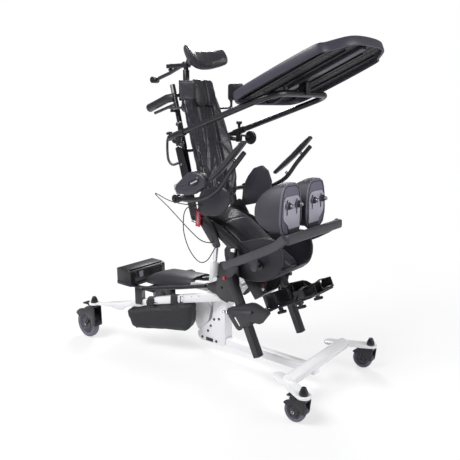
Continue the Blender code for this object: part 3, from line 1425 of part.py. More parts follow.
def addFootSupport(mats):
    addBody("foot_carrier", (0, footHingeY, footHingeZ), "tilt_frame")
    for side, name in ((-1, "right"), (1, "left")):
        add("post_clamp_" + name, makePostClamp(side), mats["blackPaint"], "foot_carrier")
    addBody("footplate", (0, footHingeY, footHingeZ), "foot_carrier")
    add("footplate", makeFootplate(), mats["blackPaint"], "footplate")
    for side, name in ((-1, "right"), (1, "left")):
        add("foot_sandal_" + name, makeSandal(side), mats["blackPlastic"], "footplate")


def addSeat(mats):
    addBody("seat", (0, kneeY, kneeZ), "tilt_frame")
    add("seat_frame", makeSeatFrame(), mats["blackPaint"], "seat")
    add("seat_cushion", makeSeatCushion(), mats["softBlack"], "seat")
    add("seat_cover", makeSeatCover(), mats["softBlack"], "seat")
    add("control_box", makeControlBox(), mats["blackPlastic"], "seat")


cableLong = [(-0.1425, -0.034, 0.628), (-0.146, -0.020, 0.640), (-0.151, 0.008, 0.642), (-0.153, 0.028, 0.620),
             (-0.153, 0.035, 0.580), (-0.152, 0.033, 0.535), (-0.150, 0.012, 0.480), (-0.148, -0.022, 0.442),
             (-0.147, -0.052, 0.432), (-0.145, -0.080, 0.446), (-0.140, -0.098, 0.474), (-0.130, -0.107, 0.497),
             (-0.1245, -0.109, 0.503)]
cableShort = [(-0.1425, -0.050, 0.650), (-0.148, -0.036, 0.656), (-0.156, 0.020, 0.652), (-0.158, 0.100, 0.658),
              (-0.159, 0.160, 0.676), (-0.160, 0.178, 0.680), (-0.159, 0.168, 0.669), (-0.160, 0.110, 0.635),
              (-0.160, 0.020, 0.572), (-0.153, -0.045, 0.525), (-0.139, -0.078, 0.513), (-0.1245, -0.088, 0.514)]


def addBack(mats):
    addBody("back_carrier", (0, hipY, hipZ), "seat")
    for side, name in ((-1, "right"), (1, "left")):
        add("carrier_plate_" + name, makeCarrierPlate(side), mats["blackPaint"], "back_carrier")
        add("hip_pad_" + name, makeHipPad(side), mats["softGrey"], "back_carrier")
    add("cable_long", makeCable(cableLong), mats["cable"], "back_carrier")
    add("cable_short", makeCable(cableShort), mats["cable"], "back_carrier")
    addBody("back", (0, hipY, hipZ), "back_carrier")
    add("back_frame", makeBackFrame(), mats["blackPaint"], "back")
    add("back_cushion", makeBackCushion(), mats["softBlack"], "back")
    add("shoulder_pad", makeShoulderPad(), mats["softBlack"], "back")
    for side, name in ((-1, "right"), (1, "left")):
        addBody("lateral_pad_" + name, (side * lateralPinX, lateralPivotY, lateralPivotZ), "back")
        add("lateral_pad_" + name, makeLateralPad(side), mats["softBlack"], "lateral_pad_" + name)
    addBody("headrest_slide", (0, 0.150, 1.180), "back")
    add("headrest_rod", makeHeadrestRod(), mats["blackPaint"], "headrest_slide")
    addBody("headrest_tilt", (0, headY, headZ), "headrest_slide")
    add("headrest_pad", makeHeadrestPad(), mats["softBlack"], "headrest_tilt")


def addArms(mats):
    for side, name in ((-1, "right"), (1, "left")):
        addBody("armrest_" + name, (side * armX, armPivotY, armPivotZ), "back")
        add("armrest_" + name, makeArmrest(side), mats["blackPaint"], "armrest_" + name)
        add("arm_pad_" + name, makeArmPad(side), mats["softBlack"], "armrest_" + name)
    add("elbow_block", makeElbowBlock(), mats["blackPlastic"], "armrest_right")


def addTray(mats):
    addBody("tray_slide", (0, trayRearY, trayRearZ), "back")
    add("tray_frame", makeTrayFrame(), mats["blackPaint"], "tray_slide")
    addBody("tray_tilt", (0, trayFrontY, trayFrontZ), "tray_slide")
    add("tray", makeTray(), mats["blackPlastic"], "tray_tilt")


def main():
    mats = makeMaterials()
    addBody("base")
    addBase(mats)
    addCasters(mats)
    addActuators(mats)
    addTiltFrame(mats)
    addFootSupport(mats)
    addSeat(mats)
    addBack(mats)
    addArms(mats)
    addTray(mats)


clearScene()
bodies = {}
parts = newCollection("standing_frame")
main()
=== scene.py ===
import math
import json
import bpy, bmesh
import numpy as np
from mathutils import Matrix, Vector, noise

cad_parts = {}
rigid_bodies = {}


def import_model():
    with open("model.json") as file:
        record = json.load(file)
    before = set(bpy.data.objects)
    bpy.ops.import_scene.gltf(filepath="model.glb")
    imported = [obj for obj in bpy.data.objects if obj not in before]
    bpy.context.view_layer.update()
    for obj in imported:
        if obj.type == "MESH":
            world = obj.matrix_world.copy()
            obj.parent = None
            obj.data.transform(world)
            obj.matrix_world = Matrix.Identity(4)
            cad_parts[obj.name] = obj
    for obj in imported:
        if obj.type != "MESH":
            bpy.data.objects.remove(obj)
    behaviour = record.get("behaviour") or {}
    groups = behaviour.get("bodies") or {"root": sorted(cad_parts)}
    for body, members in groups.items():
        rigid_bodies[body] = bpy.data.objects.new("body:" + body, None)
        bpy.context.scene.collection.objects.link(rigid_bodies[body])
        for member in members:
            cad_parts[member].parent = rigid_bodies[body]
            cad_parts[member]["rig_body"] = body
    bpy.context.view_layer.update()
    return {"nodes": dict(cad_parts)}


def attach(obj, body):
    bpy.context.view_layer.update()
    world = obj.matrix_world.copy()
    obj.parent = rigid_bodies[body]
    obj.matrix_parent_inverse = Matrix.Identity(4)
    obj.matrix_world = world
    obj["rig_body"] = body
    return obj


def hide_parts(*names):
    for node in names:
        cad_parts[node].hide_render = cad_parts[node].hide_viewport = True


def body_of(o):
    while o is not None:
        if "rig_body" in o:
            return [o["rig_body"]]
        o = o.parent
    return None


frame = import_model()
nodes = frame["nodes"]
slotOf = {name: node.data.materials[0].name.split(".")[0] for name, node in nodes.items()}
print("frame loaded:", len(nodes), "nodes")

# every place below is given in the tower's frame, and yShift centres the footprint
yShift = 0.0093


def at(x, y, z):
    return Vector((x, y + yShift, z))


# the photograph's view, floor and light

view = {"place": (-1.6704, -1.4075, 1.0), "heading": (0.7815, 0.6239), "pitch": 12.2, "lens": 43.04}
light = {"world": 0.24, "key": 84, "fill": 38, "rim": 60, "floor": 0.64}


def addCamera():
    camData = bpy.data.cameras.new("camera")
    camData.lens, camData.sensor_width, camData.sensor_fit = view["lens"], 36, "HORIZONTAL"
    camData.clip_end = 60
    cam = bpy.data.objects.new("camera", camData)
    bpy.context.scene.collection.objects.link(cam)
    flat = Vector((*view["heading"], 0)).normalized()
    pitch = math.radians(view["pitch"])
    gaze = flat * math.cos(pitch) - Vector((0, 0, math.sin(pitch)))
    turn = gaze.to_track_quat("-Z", "Y").to_matrix().to_4x4()
    cam.matrix_world = Matrix.Translation(at(*view["place"])) @ turn
    bpy.context.scene.camera = cam


addCamera()


# shader building: a wire is one output, and Python arithmetic on it adds Math nodes

class Wire:
    def __init__(self, graph, socket):
        self.graph, self.socket = graph, socket

    def calc(self, operation, a, b=0.0):
        return self.graph.node("ShaderNodeMath", {"operation": operation}, a, b)

    def __add__(self, other):
        return self.calc("ADD", self, other)

    def __sub__(self, other):
        return self.calc("SUBTRACT", self, other)

    def __mul__(self, other):
        return self.calc("MULTIPLY", self, other)

    def __radd__(self, other):
        return self.calc("ADD", other, self)

    def __rsub__(self, other):
        return self.calc("SUBTRACT", other, self)

    def __rmul__(self, other):
        return self.calc("MULTIPLY", other, self)

    def over(self, edge, soft=0.001):      # 0 below an edge, 1 above it
        return self.graph.node("ShaderNodeMapRange", {"clamp": True}, self, edge - soft, edge + soft, 0.0, 1.0)


class Graph:
    def __init__(self, name):
        self.mat = bpy.data.materials.new(name)
        self.mat.use_nodes = True
        self.tree = self.mat.node_tree
        self.shader = self.tree.nodes["Principled BSDF"]
        self.coord = self.node("ShaderNodeTexCoord", {}, out="Object")

    def node(self, kind, settings=None, *values, out=0, **named):
        made = self.tree.nodes.new(kind)
        for key, value in (settings or {}).items():
            setattr(made, key, value)
        for i, value in enumerate(values):
            self.feed(made.inputs[i], value)
        for key, value in named.items():
            self.feed(made.inputs[key.replace("_", " ")], value)
        return Wire(self, made.outputs[out])

    def feed(self, socket, value):
        if isinstance(value, Wire):
            self.tree.links.new(value.socket, socket)
        elif value is not None:
            socket.default_value = value

    def mix(self, factor, a, b):
        made = self.tree.nodes.new("ShaderNodeMix")
        made.data_type = "RGBA"
        self.feed(made.inputs[0], factor)
        for socket, value in ((made.inputs[6], a), (made.inputs[7], b)):
            self.feed(socket, (*value, 1) if isinstance(value, tuple) else value)
        return Wire(self, made.outputs[2])

    def noise(self, scale, detail=2.0, vector=None):
        return self.node("ShaderNodeTexNoise", {}, Vector=vector or self.coord, Scale=scale, Detail=detail)

    def axis(self, name, vector=None):
        return self.node("ShaderNodeSeparateXYZ", {}, vector or self.coord, out=name)

    def bump(self, height, distance, strength=1.0, under=None):
        made = self.node("ShaderNodeBump", {}, Strength=strength, Distance=distance, Height=height)
        if under:
            self.feed(made.socket.node.inputs["Normal"], under)
        return made

    def finish(self, **sockets):
        for key, value in sockets.items():
            if isinstance(value, tuple):
                value = (*value, 1)
            self.feed(self.shader.inputs[key.replace("_", " ")], value)
        return self.mat


def shade(colour, factor):
    return tuple(min(1.0, c * factor) for c in colour)


# powder coat: orange peel, faint tone change, dull dust
def makePaint(name, colour, rough, peel=0.00006, dust=0.06):
    g = Graph(name)
    cloud, grain = g.noise(9, 3), g.noise(620, 2)
    tone = g.mix(cloud, shade(colour, 1 - dust), shade(colour, 1 + dust * 0.6))
    return g.finish(Base_Color=tone, Roughness=rough + cloud * 0.10 - 0.05, Normal=g.bump(grain, peel, 0.5),
                    Coat_Weight=0.12, Coat_Roughness=0.25)


def makeMould(name, colour, rough, grain=0.00005, scale=1400):   # moulded plastic with a spark-eroded grain
    g = Graph(name)
    cloud, pits = g.noise(14, 3), g.noise(scale, 3)
    tone = g.mix(cloud, shade(colour, 0.88), shade(colour, 1.12))
    return g.finish(Base_Color=tone, Roughness=rough + (pits - 0.5) * 0.16 + (cloud - 0.5) * 0.08,
                    Normal=g.bump(pits, grain, 0.6))


# knitted cover cloth with fine ribs and soft wrinkles
def makeCloth(name, colour, rough, rib=0.0012, depth=0.00010, sheen=0.25, crease=0.0):
    g = Graph(name)
    x, y, z = (g.axis(a) for a in "XYZ")
    turns = 2 * math.pi / rib
    warp = g.node("ShaderNodeMath", {"operation": "SINE"}, (x + y * 0.6) * turns, 0.0)
    weft = g.node("ShaderNodeMath", {"operation": "SINE"}, (z - y * 0.5) * turns, 0.0)
    cloud, fuzz = g.noise(22, 4), g.noise(900, 2)
    height = warp * weft * 0.4 + fuzz * 0.6
    normal = g.bump(height, depth, 0.5)
    if crease:
        normal = g.bump(g.noise(38, 3), crease, 0.7, under=normal)
    tone = g.mix(cloud * 0.7 + fuzz * 0.3, shade(colour, 0.72), shade(colour, 1.30))
    return g.finish(Base_Color=tone, Roughness=rough + (cloud - 0.5) * 0.18, Normal=normal, Sheen_Weight=sheen,
                    Sheen_Roughness=0.5, Sheen_Tint=(0.75, 0.73, 0.85))


def makeSteel(name, colour, rough):
    g = Graph(name)
    z = g.axis("Z")
    lines = g.noise(60, 2, g.node("ShaderNodeCombineXYZ", {}, g.axis("X") * 3, g.axis("Y") * 3, z * 60))
    return g.finish(Base_Color=g.mix(lines, shade(colour, 0.9), colour), Metallic=1.0,
                    Roughness=rough + lines * 0.08, Normal=g.bump(lines, 0.00002, 0.3))


def makeKneeFoam():      # skin foam: a pale front plate, dark cup sides
    g = Graph("kneeFoam")
    front = 1 - g.axis("Y").over(-0.4062 + yShift, 0.0012)
    cloud, grain = g.noise(16, 3), g.noise(700, 3)
    plate = g.mix(cloud, (0.125, 0.117, 0.160), (0.155, 0.147, 0.195))
    sides = g.mix(cloud, (0.034, 0.032, 0.044), (0.048, 0.046, 0.060))
    low = 1 - g.axis("Y").over(-0.4225 + yShift, 0.0008)       # the knobs stand in front of the plate
    tone = g.mix(low, g.mix(front, sides, plate), (0.012, 0.012, 0.015))
    return g.finish(Base_Color=tone, Roughness=0.55 + (grain - 0.5) * 0.2, Normal=g.bump(grain, 0.00009, 0.7))


def makeKneeBarPaint():      # dark rails, pale slotted uprights
    g = Graph("kneeBarPaint")
    pale = g.axis("Z").over(0.603, 0.0015)
    cloud, grain = g.noise(18, 3), g.noise(800, 2)
    dark = g.mix(cloud, (0.040, 0.039, 0.046), (0.056, 0.054, 0.064))
    light = g.mix(cloud, (0.36, 0.35, 0.41), (0.46, 0.45, 0.52))
    return g.finish(Base_Color=g.mix(pale, dark, light), Roughness=0.46 + (grain - 0.5) * 0.15,
                    Normal=g.bump(grain, 0.00005, 0.5))


white = makePaint("whitePaint", (0.83, 0.83, 0.85), 0.34, dust=0.02)
whiteTube = makePaint("whiteTube", (0.84, 0.84, 0.86), 0.26, dust=0.02)
blackPaint = makePaint("blackPaint", (0.012, 0.0115, 0.016), 0.30, dust=0.10)
blackMould = makeMould("blackMould", (0.011, 0.0105, 0.014), 0.36)
trayMould = makeMould("trayMould", (0.044, 0.042, 0.060), 0.40)
greyMould = makeMould("greyMould", (0.040, 0.038, 0.050), 0.38)
coverMould = makeMould("coverMould", (0.026, 0.025, 0.033), 0.46, 0.00009, 900)
hubMould = makeMould("hubMould", (0.045, 0.043, 0.055), 0.50)
knobMould = makeMould("knobMould", (0.012, 0.012, 0.015), 0.32)
tyreRubber = makeMould("tyreRubber", (0.125, 0.120, 0.165), 0.55, 0.00006, 1100)
rubber = makeMould("rubber", (0.030, 0.029, 0.036), 0.62, 0.00010, 700)
steel = makeSteel("steel", (0.78, 0.78, 0.80), 0.14)
satinSteel = makeSteel("satinSteel", (0.30, 0.30, 0.34), 0.34)
# tray deck: much darker than the tray rim moulding, painted shade for the underside, the only face the camera sees
deckMould = makeMould("deckMould", (0.0060, 0.0058, 0.0080), 0.60, 0.00006, 900)
seamThread = makeCloth("seamThread", (0.060, 0.058, 0.070), 0.60, rib=0.0006, depth=0.00004, sheen=0.10)
cableSkin = makeMould("cableSkin", (0.022, 0.022, 0.026), 0.40, 0.00003, 2000)
seatCloth = makeCloth("seatCloth", (0.012, 0.011, 0.017), 0.44, sheen=0.20)
backCloth = makeCloth("backCloth", (0.016, 0.015, 0.022), 0.28, sheen=0.30, crease=0.0006)
padCloth = makeCloth("padCloth", (0.018, 0.0175, 0.023), 0.36, sheen=0.22)
bagCloth = makeCloth("bagCloth", (0.012, 0.012, 0.015), 0.62, rib=0.0022, depth=0.00022, sheen=0.15)
webbing = makeCloth("webbing", (0.015, 0.015, 0.018), 0.55, rib=0.0018, depth=0.00030, sheen=0.10)
patchGrey = makeMould("patchGrey", (0.36, 0.35, 0.42), 0.50, 0.00002, 2500)
signalRed = makeMould("signalRed", (0.62, 0.016, 0.030), 0.40, 0.00002, 2500)
kneeFoam = makeKneeFoam()
kneeBarPaint = makeKneeBarPaint()
print("materials made")


def setMaterial(obj, mat):
    if not obj.data.materials:
        obj.data.materials.append(mat)
    for i in range(len(obj.data.materials)):
        obj.data.materials[i] = mat


corners = [end + "_" + side for end in ("front", "rear") for side in ("right", "left")]
carried = {
    white: ["tower", "front_frame", "rear_leg_right", "rear_leg_left"],
    whiteTube: ["lift_cylinder"],
    steel: ["lift_rod", "tilt_rod"],
    blackPaint: ["rear_carrier", "side_bracket_right", "side_bracket_left", "leg_post_right", "leg_post_left",
                 "post_clamp_right", "post_clamp_left", "seat_frame", "carrier_plate_right", "carrier_plate_left",
                 "back_frame", "headrest_rod", "armrest_right", "armrest_left", "tray_frame", "footplate"],
    blackMould: ["battery_box", "tilt_actuator", "control_box", "foot_sandal_right", "foot_sandal_left",
                 *("brake_pedal_" + corner for corner in corners),
                 *("caster_fork_" + corner for corner in corners)],
    greyMould: ["elbow_block", "hip_pad_right", "hip_pad_left"],
    coverMould: ["actuator_cover"],
    tyreRubber: ["caster_wheel_" + corner for corner in corners],
    trayMould: ["tray"],
    kneeFoam: ["knee_pad_right", "knee_pad_left"],
    kneeBarPaint: ["knee_support_bar"],
}
for mat, names in carried.items():
    for name in names:
        setMaterial(nodes[name], mat)


# mesh making

mergeGap = 1e-6         # vertices nearer than this are one
cadMergeGap = 2e-5      # the same for a CAD solid


def linked(name, mesh):
    obj = bpy.data.objects.new(name, mesh)
    bpy.context.scene.collection.objects.link(obj)
    return obj


def fromFaces(name, verts, faces, mat, angle=38):
    mesh = bpy.data.meshes.new(name)
    mesh.from_pydata([tuple(v) for v in verts], [], faces)
    return tidied(linked(name, mesh), mat, angle)


def tidied(obj, mat, angle=38):
    bm = bmesh.new()
    bm.from_mesh(obj.data)
    bmesh.ops.remove_doubles(bm, verts=bm.verts, dist=mergeGap)
    bmesh.ops.recalc_face_normals(bm, faces=bm.faces)
    bm.to_mesh(obj.data)
    bm.free()
    obj.data.shade_smooth()
    obj.data.set_sharp_from_angle(angle=math.radians(angle))
    if mat:
        setMaterial(obj, mat)
    return obj


def baked(obj, mat=None, angle=None):      # modifiers become a plain mesh in world space
    bpy.context.view_layer.update()
    graph = bpy.context.evaluated_depsgraph_get()
    mesh = bpy.data.meshes.new_from_object(obj.evaluated_get(graph), depsgraph=graph)
    mesh.transform(obj.matrix_world)
    name = obj.name
    bpy.data.objects.remove(obj, do_unlink=True)
    out = linked(name, mesh)
    if angle is not None:
        out.data.shade_smooth()
        out.data.set_sharp_from_angle(angle=math.radians(angle))
    if mat:
        setMaterial(out, mat)
    return out


def rounded(obj, width, segments=2, mat=None, limit=30, angle=45):
    mod = obj.modifiers.new("Bevel", "BEVEL")
    mod.width, mod.segments, mod.angle_limit = width, segments, math.radians(limit)
    mod.limit_method = "ANGLE"
    return baked(obj, mat, angle)


def frameOf(start, direction, side=(0, 0, 1)):      # local Z along a direction, local Y near a side direction
    z = Vector(direction).normalized()
    x = Vector(side).cross(z)
    x = (x if x.length > 1e-4 else Vector((1, 0, 0)).cross(z)).normalized()
    turn = Matrix((x, z.cross(x), z)).transposed().to_4x4()
    return Matrix.Translation(Vector(start)) @ turn


def block(name, size, mat, matrix=None, bevel=0.001, segments=2):      # a box of full sizes about its own centre
    sx, sy, sz = (s / 2 for s in size)
    verts = [Vector((x, y, z)) for x in (-sx, sx) for y in (-sy, sy) for z in (-sz, sz)]
    faces = [(0, 1, 3, 2), (4, 6, 7, 5), (0, 4, 5, 1), (2, 3, 7, 6), (0, 2, 6, 4), (1, 5, 7, 3)]
    obj = fromFaces(name, [(matrix or Matrix()) @ v for v in verts], faces, mat)
    return rounded(obj, bevel, segments, mat)


# profile is (radius, height) from one end to the other
def lathed(name, profile, matrix, mat, sides=40, angle=38):
    verts, faces = [], []
    for r, h in profile:
        for k in range(sides):
            a = 2 * math.pi * k / sides
            verts.append(matrix @ Vector((r * math.cos(a), r * math.sin(a), h)))
    for i in range(len(profile) - 1):
        for k in range(sides):
            j = (k + 1) % sides
            faces.append((i * sides + k, i * sides + j, (i + 1) * sides + j, (i + 1) * sides + k))
    return fromFaces(name, verts, faces, mat, angle)


# a flat outline given thickness about its plane
def prism(name, outline, thick, matrix, mat, bevel=0.0012, segments=2):
    count = len(outline)
    verts = [matrix @ Vector((u, v, w)) for w in (-thick / 2, thick / 2) for u, v in outline]
    faces = [tuple(range(count))[::-1], tuple(range(count, 2 * count))]
    faces += [(i, (i + 1) % count, count + (i + 1) % count, count + i) for i in range(count)]
    obj = fromFaces(name, verts, faces, mat)
    return rounded(obj, bevel, segments, mat, limit=40) if bevel else obj


def lofted(name, rings, mat, angle=60, cap=True):
    count = len(rings[0])
    verts = [p for ring in rings for p in ring]
    faces = []
    for i in range(len(rings) - 1):
        for k in range(count):
            j = (k + 1) % count
            faces.append((i * count + k, i * count + j, (i + 1) * count + j, (i + 1) * count + k))
    if cap:
        faces += [tuple(range(count))[::-1], tuple(range((len(rings) - 1) * count, len(rings) * count))]
    return fromFaces(name, verts, faces, mat, angle)


def smoothLine(points, samples=8, closed=False):
    pts = [Vector(p) for p in points]
    ring = [pts[-1]] + pts + pts[:2] if closed else [2 * pts[0] - pts[1]] + pts + [2 * pts[-1] - pts[-2]]
    out = []
    for i in range(1, len(ring) - 2):
        a, b, c, d = ring[i - 1:i + 3]
        for k in range(samples):
            t = k / samples
            out.append(0.5 * ((2 * b) + (c - a) * t + (2 * a - 5 * b + 4 * c - d) * t * t
                              + (3 * b - a - 3 * c + d) * t ** 3))
    return out if closed else out + [pts[-1]]


# a round or flattened bar with its ends closed
def tube(name, points, radius, mat, sides=12, closed=False, flat=1.0):
    pts = [Vector(p) for p in points]
    rings = []
    side = None
    for i, p in enumerate(pts):
        before = pts[i - 1] if closed or i else pts[i]
        after = pts[(i + 1) % len(pts)] if closed or i < len(pts) - 1 else pts[i]
        along = (after - before).normalized()
        if side is None:
            side = along.orthogonal().normalized()
        side = (side - along * side.dot(along)).normalized()
        up = along.cross(side)
        rings.append([p + side * (radius * math.cos(2 * math.pi * k / sides))
                      + up * (radius * flat * math.sin(2 * math.pi * k / sides)) for k in range(sides)])
    if closed:
        rings.append(rings[0])
    return lofted(name, rings, mat, cap=not closed)


def joined(name, objs, mat=None, angle=45):      # several meshes become one piece
    mesh = bpy.data.meshes.new(name)
    bm = bmesh.new()
    mats = []
    for obj in objs:
        first = len(bm.faces)
        bm.from_mesh(obj.data)
        bm.faces.ensure_lookup_table()
        if obj.data.materials[0] not in mats:
            mats.append(obj.data.materials[0])
        for face in bm.faces[first:]:
            face.material_index = mats.index(obj.data.materials[0])
        bpy.data.objects.remove(obj, do_unlink=True)
    bm.to_mesh(mesh)
    bm.free()
    out = linked(name, mesh)
    for m in ([mat] if mat else mats):
        out.data.materials.append(m)
    out.data.shade_smooth()
    out.data.set_sharp_from_angle(angle=math.radians(angle))
    return out


def copyOf(name, *sources):      # a welded copy of CAD solids
    bm = bmesh.new()
    for source in sources:
        bm.from_mesh(nodes[source].data)
    bmesh.ops.remove_doubles(bm, verts=bm.verts, dist=cadMergeGap)
    mesh = bpy.data.meshes.new(name)
    bm.to_mesh(mesh)
    bm.free()
    return linked(name, mesh)


def coords(obj):
    out = np.empty(len(obj.data.vertices) * 3)
    obj.data.vertices.foreach_get("co", out)
    return out.reshape(-1, 3)


def setCoords(obj, places):
    obj.data.vertices.foreach_set("co", np.asarray(places, dtype=float).ravel())
    obj.data.update()


def normals(obj):
    out = np.empty(len(obj.data.vertices) * 3)
    obj.data.vertex_normals.foreach_get("vector", out)
    return out.reshape(-1, 3)


def keep(obj, body, slot="black_plastic", *replaced):
    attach(obj, body)
    if replaced:
        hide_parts(*replaced)
    return obj


# soft goods: the CAD solid is remeshed, puffed up as cloth under pressure, creased and smoothed

cloth = {"frames": 20, "mass": 0.3, "stretch": 18, "bending": 0.6, "quality": 5}


def puffed(name, sources, spec, mat, crease=None):
    obj = copyOf(name, *sources)
    mod = obj.modifiers.new("Remesh", "REMESH")
    mod.mode, mod.voxel_size, mod.adaptivity = "VOXEL", spec["voxel"], 0.0
    obj = baked(obj)
    start = coords(obj) - normals(obj) * spec["inset"]
    setCoords(obj, start)
    relaxed(obj, spec.get("relax", 6))
    start = coords(obj)
    if spec["pressure"]:
        mod = obj.modifiers.new("Cloth", "CLOTH")
        fabric = mod.settings
        fabric.use_pressure, fabric.uniform_pressure_force = True, spec["pressure"]
        fabric.quality, fabric.mass = cloth["quality"], cloth["mass"]
        fabric.tension_stiffness = fabric.compression_stiffness = fabric.shear_stiffness = cloth["stretch"]
        fabric.bending_stiffness = cloth["bending"]
        fabric.effector_weights.gravity = 0
        mod.collision_settings.use_collision = mod.collision_settings.use_self_collision = False
        mod.point_cache.frame_start, mod.point_cache.frame_end = 1, cloth["frames"]
        scene = bpy.context.scene
        for step in range(1, cloth["frames"] + 1):
            scene.frame_set(step)
        graph = bpy.context.evaluated_depsgraph_get()
        swollen = bpy.data.meshes.new_from_object(obj.evaluated_get(graph), depsgraph=graph)
        grown = np.empty(len(swollen.vertices) * 3)
        swollen.vertices.foreach_get("co", grown)
        move = grown.reshape(-1, 3) - start
        far = np.linalg.norm(move, axis=1, keepdims=True)
        move *= np.minimum(1, spec["cap"] / np.maximum(far, 1e-9))
        obj.modifiers.clear()
        bpy.data.meshes.remove(swollen)
        scene.frame_set(1)
        setCoords(obj, start + move)
    mod = obj.modifiers.new("Subdivision", "SUBSURF")
    mod.levels = mod.render_levels = 1
    obj = baked(obj, mat, 180)
    if crease:
        places, out = coords(obj), normals(obj)
        depth = np.array([crease(*p) for p in places])
        setCoords(obj, places - out * depth[:, None])
    obj.data.shade_smooth()
    return obj


def relaxed(obj, rounds):      # smooths the voxel steps away
    mod = obj.modifiers.new("Smooth", "SMOOTH")
    mod.factor, mod.iterations = 0.5, rounds
    bpy.context.view_layer.update()
    graph = bpy.context.evaluated_depsgraph_get()
    mesh = bpy.data.meshes.new_from_object(obj.evaluated_get(graph), depsgraph=graph)
    moved = np.empty(len(mesh.vertices) * 3)
    mesh.vertices.foreach_get("co", moved)
    obj.modifiers.clear()
    setCoords(obj, moved)
    bpy.data.meshes.remove(mesh)


def ridge(x, y, z, scale, seed):      # sharp-topped noise, 0 to 1
    n = noise.noise(Vector((x * scale[0] + seed, y * scale[1] + seed * 2.7, z * scale[2] - seed)))
    return max(0.0, 1 - abs(n) * 3.2) ** 2


backSoft = {"voxel": 0.0050, "inset": 0.0030, "pressure": 4.0, "cap": 0.0045, "channel": 0.0050, "channelX": 0.042,
            "channelW": 0.0075, "wrinkle": 0.0062}


def backCrease(x, y, z):      # two sewn channels, and loose folds that deepen low down
    groove = backSoft["channel"] * math.exp(-((abs(x) - backSoft["channelX"]) / backSoft["channelW"]) ** 2)
    low = min(1.0, max(0.15, (1.02 - z) / 0.28))
    folds = ridge(x + z * 0.25 * math.copysign(1, x), y, z, (15, 6, 4.5), 3.1)
    fine = ridge(x - z * 0.2, y, z, (34, 14, 11), 9.4)
    return groove + backSoft["wrinkle"] * low * (folds + 0.22 * fine) - 0.0008


seatSoft = {"voxel": 0.0050, "inset": 0.0030, "pressure": 4.0, "cap": 0.0040}


def seatCrease(x, y, z):      # a shallow seam a hand's width in front of the hips
    seam = 0.0022 * math.exp(-((y - yShift + 0.112) / 0.004) ** 2)
    return seam + 0.0005 * ridge(x, y, z, (12, 16, 16), 5.5)


coverSoft = {"voxel": 0.0045, "inset": 0.0008, "pressure": 0.0, "cap": 0.002, "relax": 10}
padSoft = {"voxel": 0.0035, "inset": 0.0016, "pressure": 3.0, "cap": 0.0022, "relax": 4}
headSoft = {"voxel": 0.0040, "inset": 0.0018, "pressure": 4.0, "cap": 0.0028}
bagSoft = {"voxel": 0.0045, "inset": 0.0022, "pressure": 3.0, "cap": 0.0045}


def shoulderCrease(x, y, z):      # a channel between two lobes
    return 0.0075 * math.exp(-(x / 0.0085) ** 2) - 0.0010


def bagCrease(x, y, z):
    return 0.0016 * ridge(x, y, z, (16, 9, 26), 2.2)


def addSoft():
    pieces = [("backCushion", ["back_cushion"], backSoft, backCloth, backCrease, "back", 0.6),
              ("seatCushion", ["seat_cushion"], seatSoft, seatCloth, seatCrease, "seat", 0.6),
              ("seatCover", ["seat_cover"], coverSoft, seatCloth, None, "seat", 0.4),
              ("shoulderPad", ["shoulder_pad"], padSoft, padCloth, shoulderCrease, "back", 0.6),
              ("headPad", ["headrest_pad"], headSoft, padCloth, None, "headrest_tilt", 0.7),
              ("lateralPadRight", ["lateral_pad_right"], padSoft, padCloth, None, "lateral_pad_right", 0.7),
              ("lateralPadLeft", ["lateral_pad_left"], padSoft, padCloth, None, "lateral_pad_left", 0.7),
              ("armPadRight", ["arm_pad_right"], padSoft, padCloth, None, "armrest_right", 0.6),
              ("armPadLeft", ["arm_pad_left"], padSoft, padCloth, None, "armrest_left", 0.6),
              ("accessoryBag", ["accessory_bag"], bagSoft, bagCloth, bagCrease, "base", 0.3)]
    made = {}
    for name, sources, spec, mat, crease, body, fill in pieces:
        obj = puffed(name, sources, spec, mat, crease)
        keep(obj, body, "soft_black", *sources)
        made[name] = obj
        print("soft piece:", name, len(obj.data.polygons), "faces")
    return made


soft = addSoft()


# cables: the CAD routes again, as finer tubes

cables = {"diameter": 0.004,
          "long": [(-0.1425, -0.034, 0.628), (-0.146, -0.020, 0.640), (-0.151, 0.008, 0.642),
                   (-0.153, 0.028, 0.620),
                   (-0.153, 0.035, 0.580), (-0.152, 0.033, 0.535), (-0.150, 0.012, 0.480), (-0.148, -0.022, 0.442),
                   (-0.147, -0.052, 0.432), (-0.145, -0.080, 0.446), (-0.140, -0.098, 0.474),
                   (-0.130, -0.107, 0.497), (-0.1245, -0.109, 0.503)],
          "short": [(-0.1425, -0.050, 0.650), (-0.148, -0.036, 0.656), (-0.156, 0.020, 0.652),
                    (-0.158, 0.100, 0.658),
                    (-0.159, 0.160, 0.676), (-0.160, 0.178, 0.680), (-0.159, 0.168, 0.669), (-0.160, 0.110, 0.635),
                    (-0.160, 0.020, 0.572), (-0.153, -0.045, 0.525), (-0.139, -0.078, 0.513),
                    (-0.1245, -0.088, 0.514)]}


def addCable(name, route, node):
    path = smoothLine([at(*p) for p in route], 3)
    obj = tube(name, path, cables["diameter"] / 2, cableSkin, 10)
    keep(obj, "back_carrier", "cable", node)
    length = sum((b - a).length for a, b in zip(path, path[1:]))
    print("cable:", name, round(length, 3), "m")


addCable("cableLong", cables["long"], "cable_long")
addCable("cableShort", cables["short"], "cable_short")


# hard pieces: each CAD solid again with its edges rounded

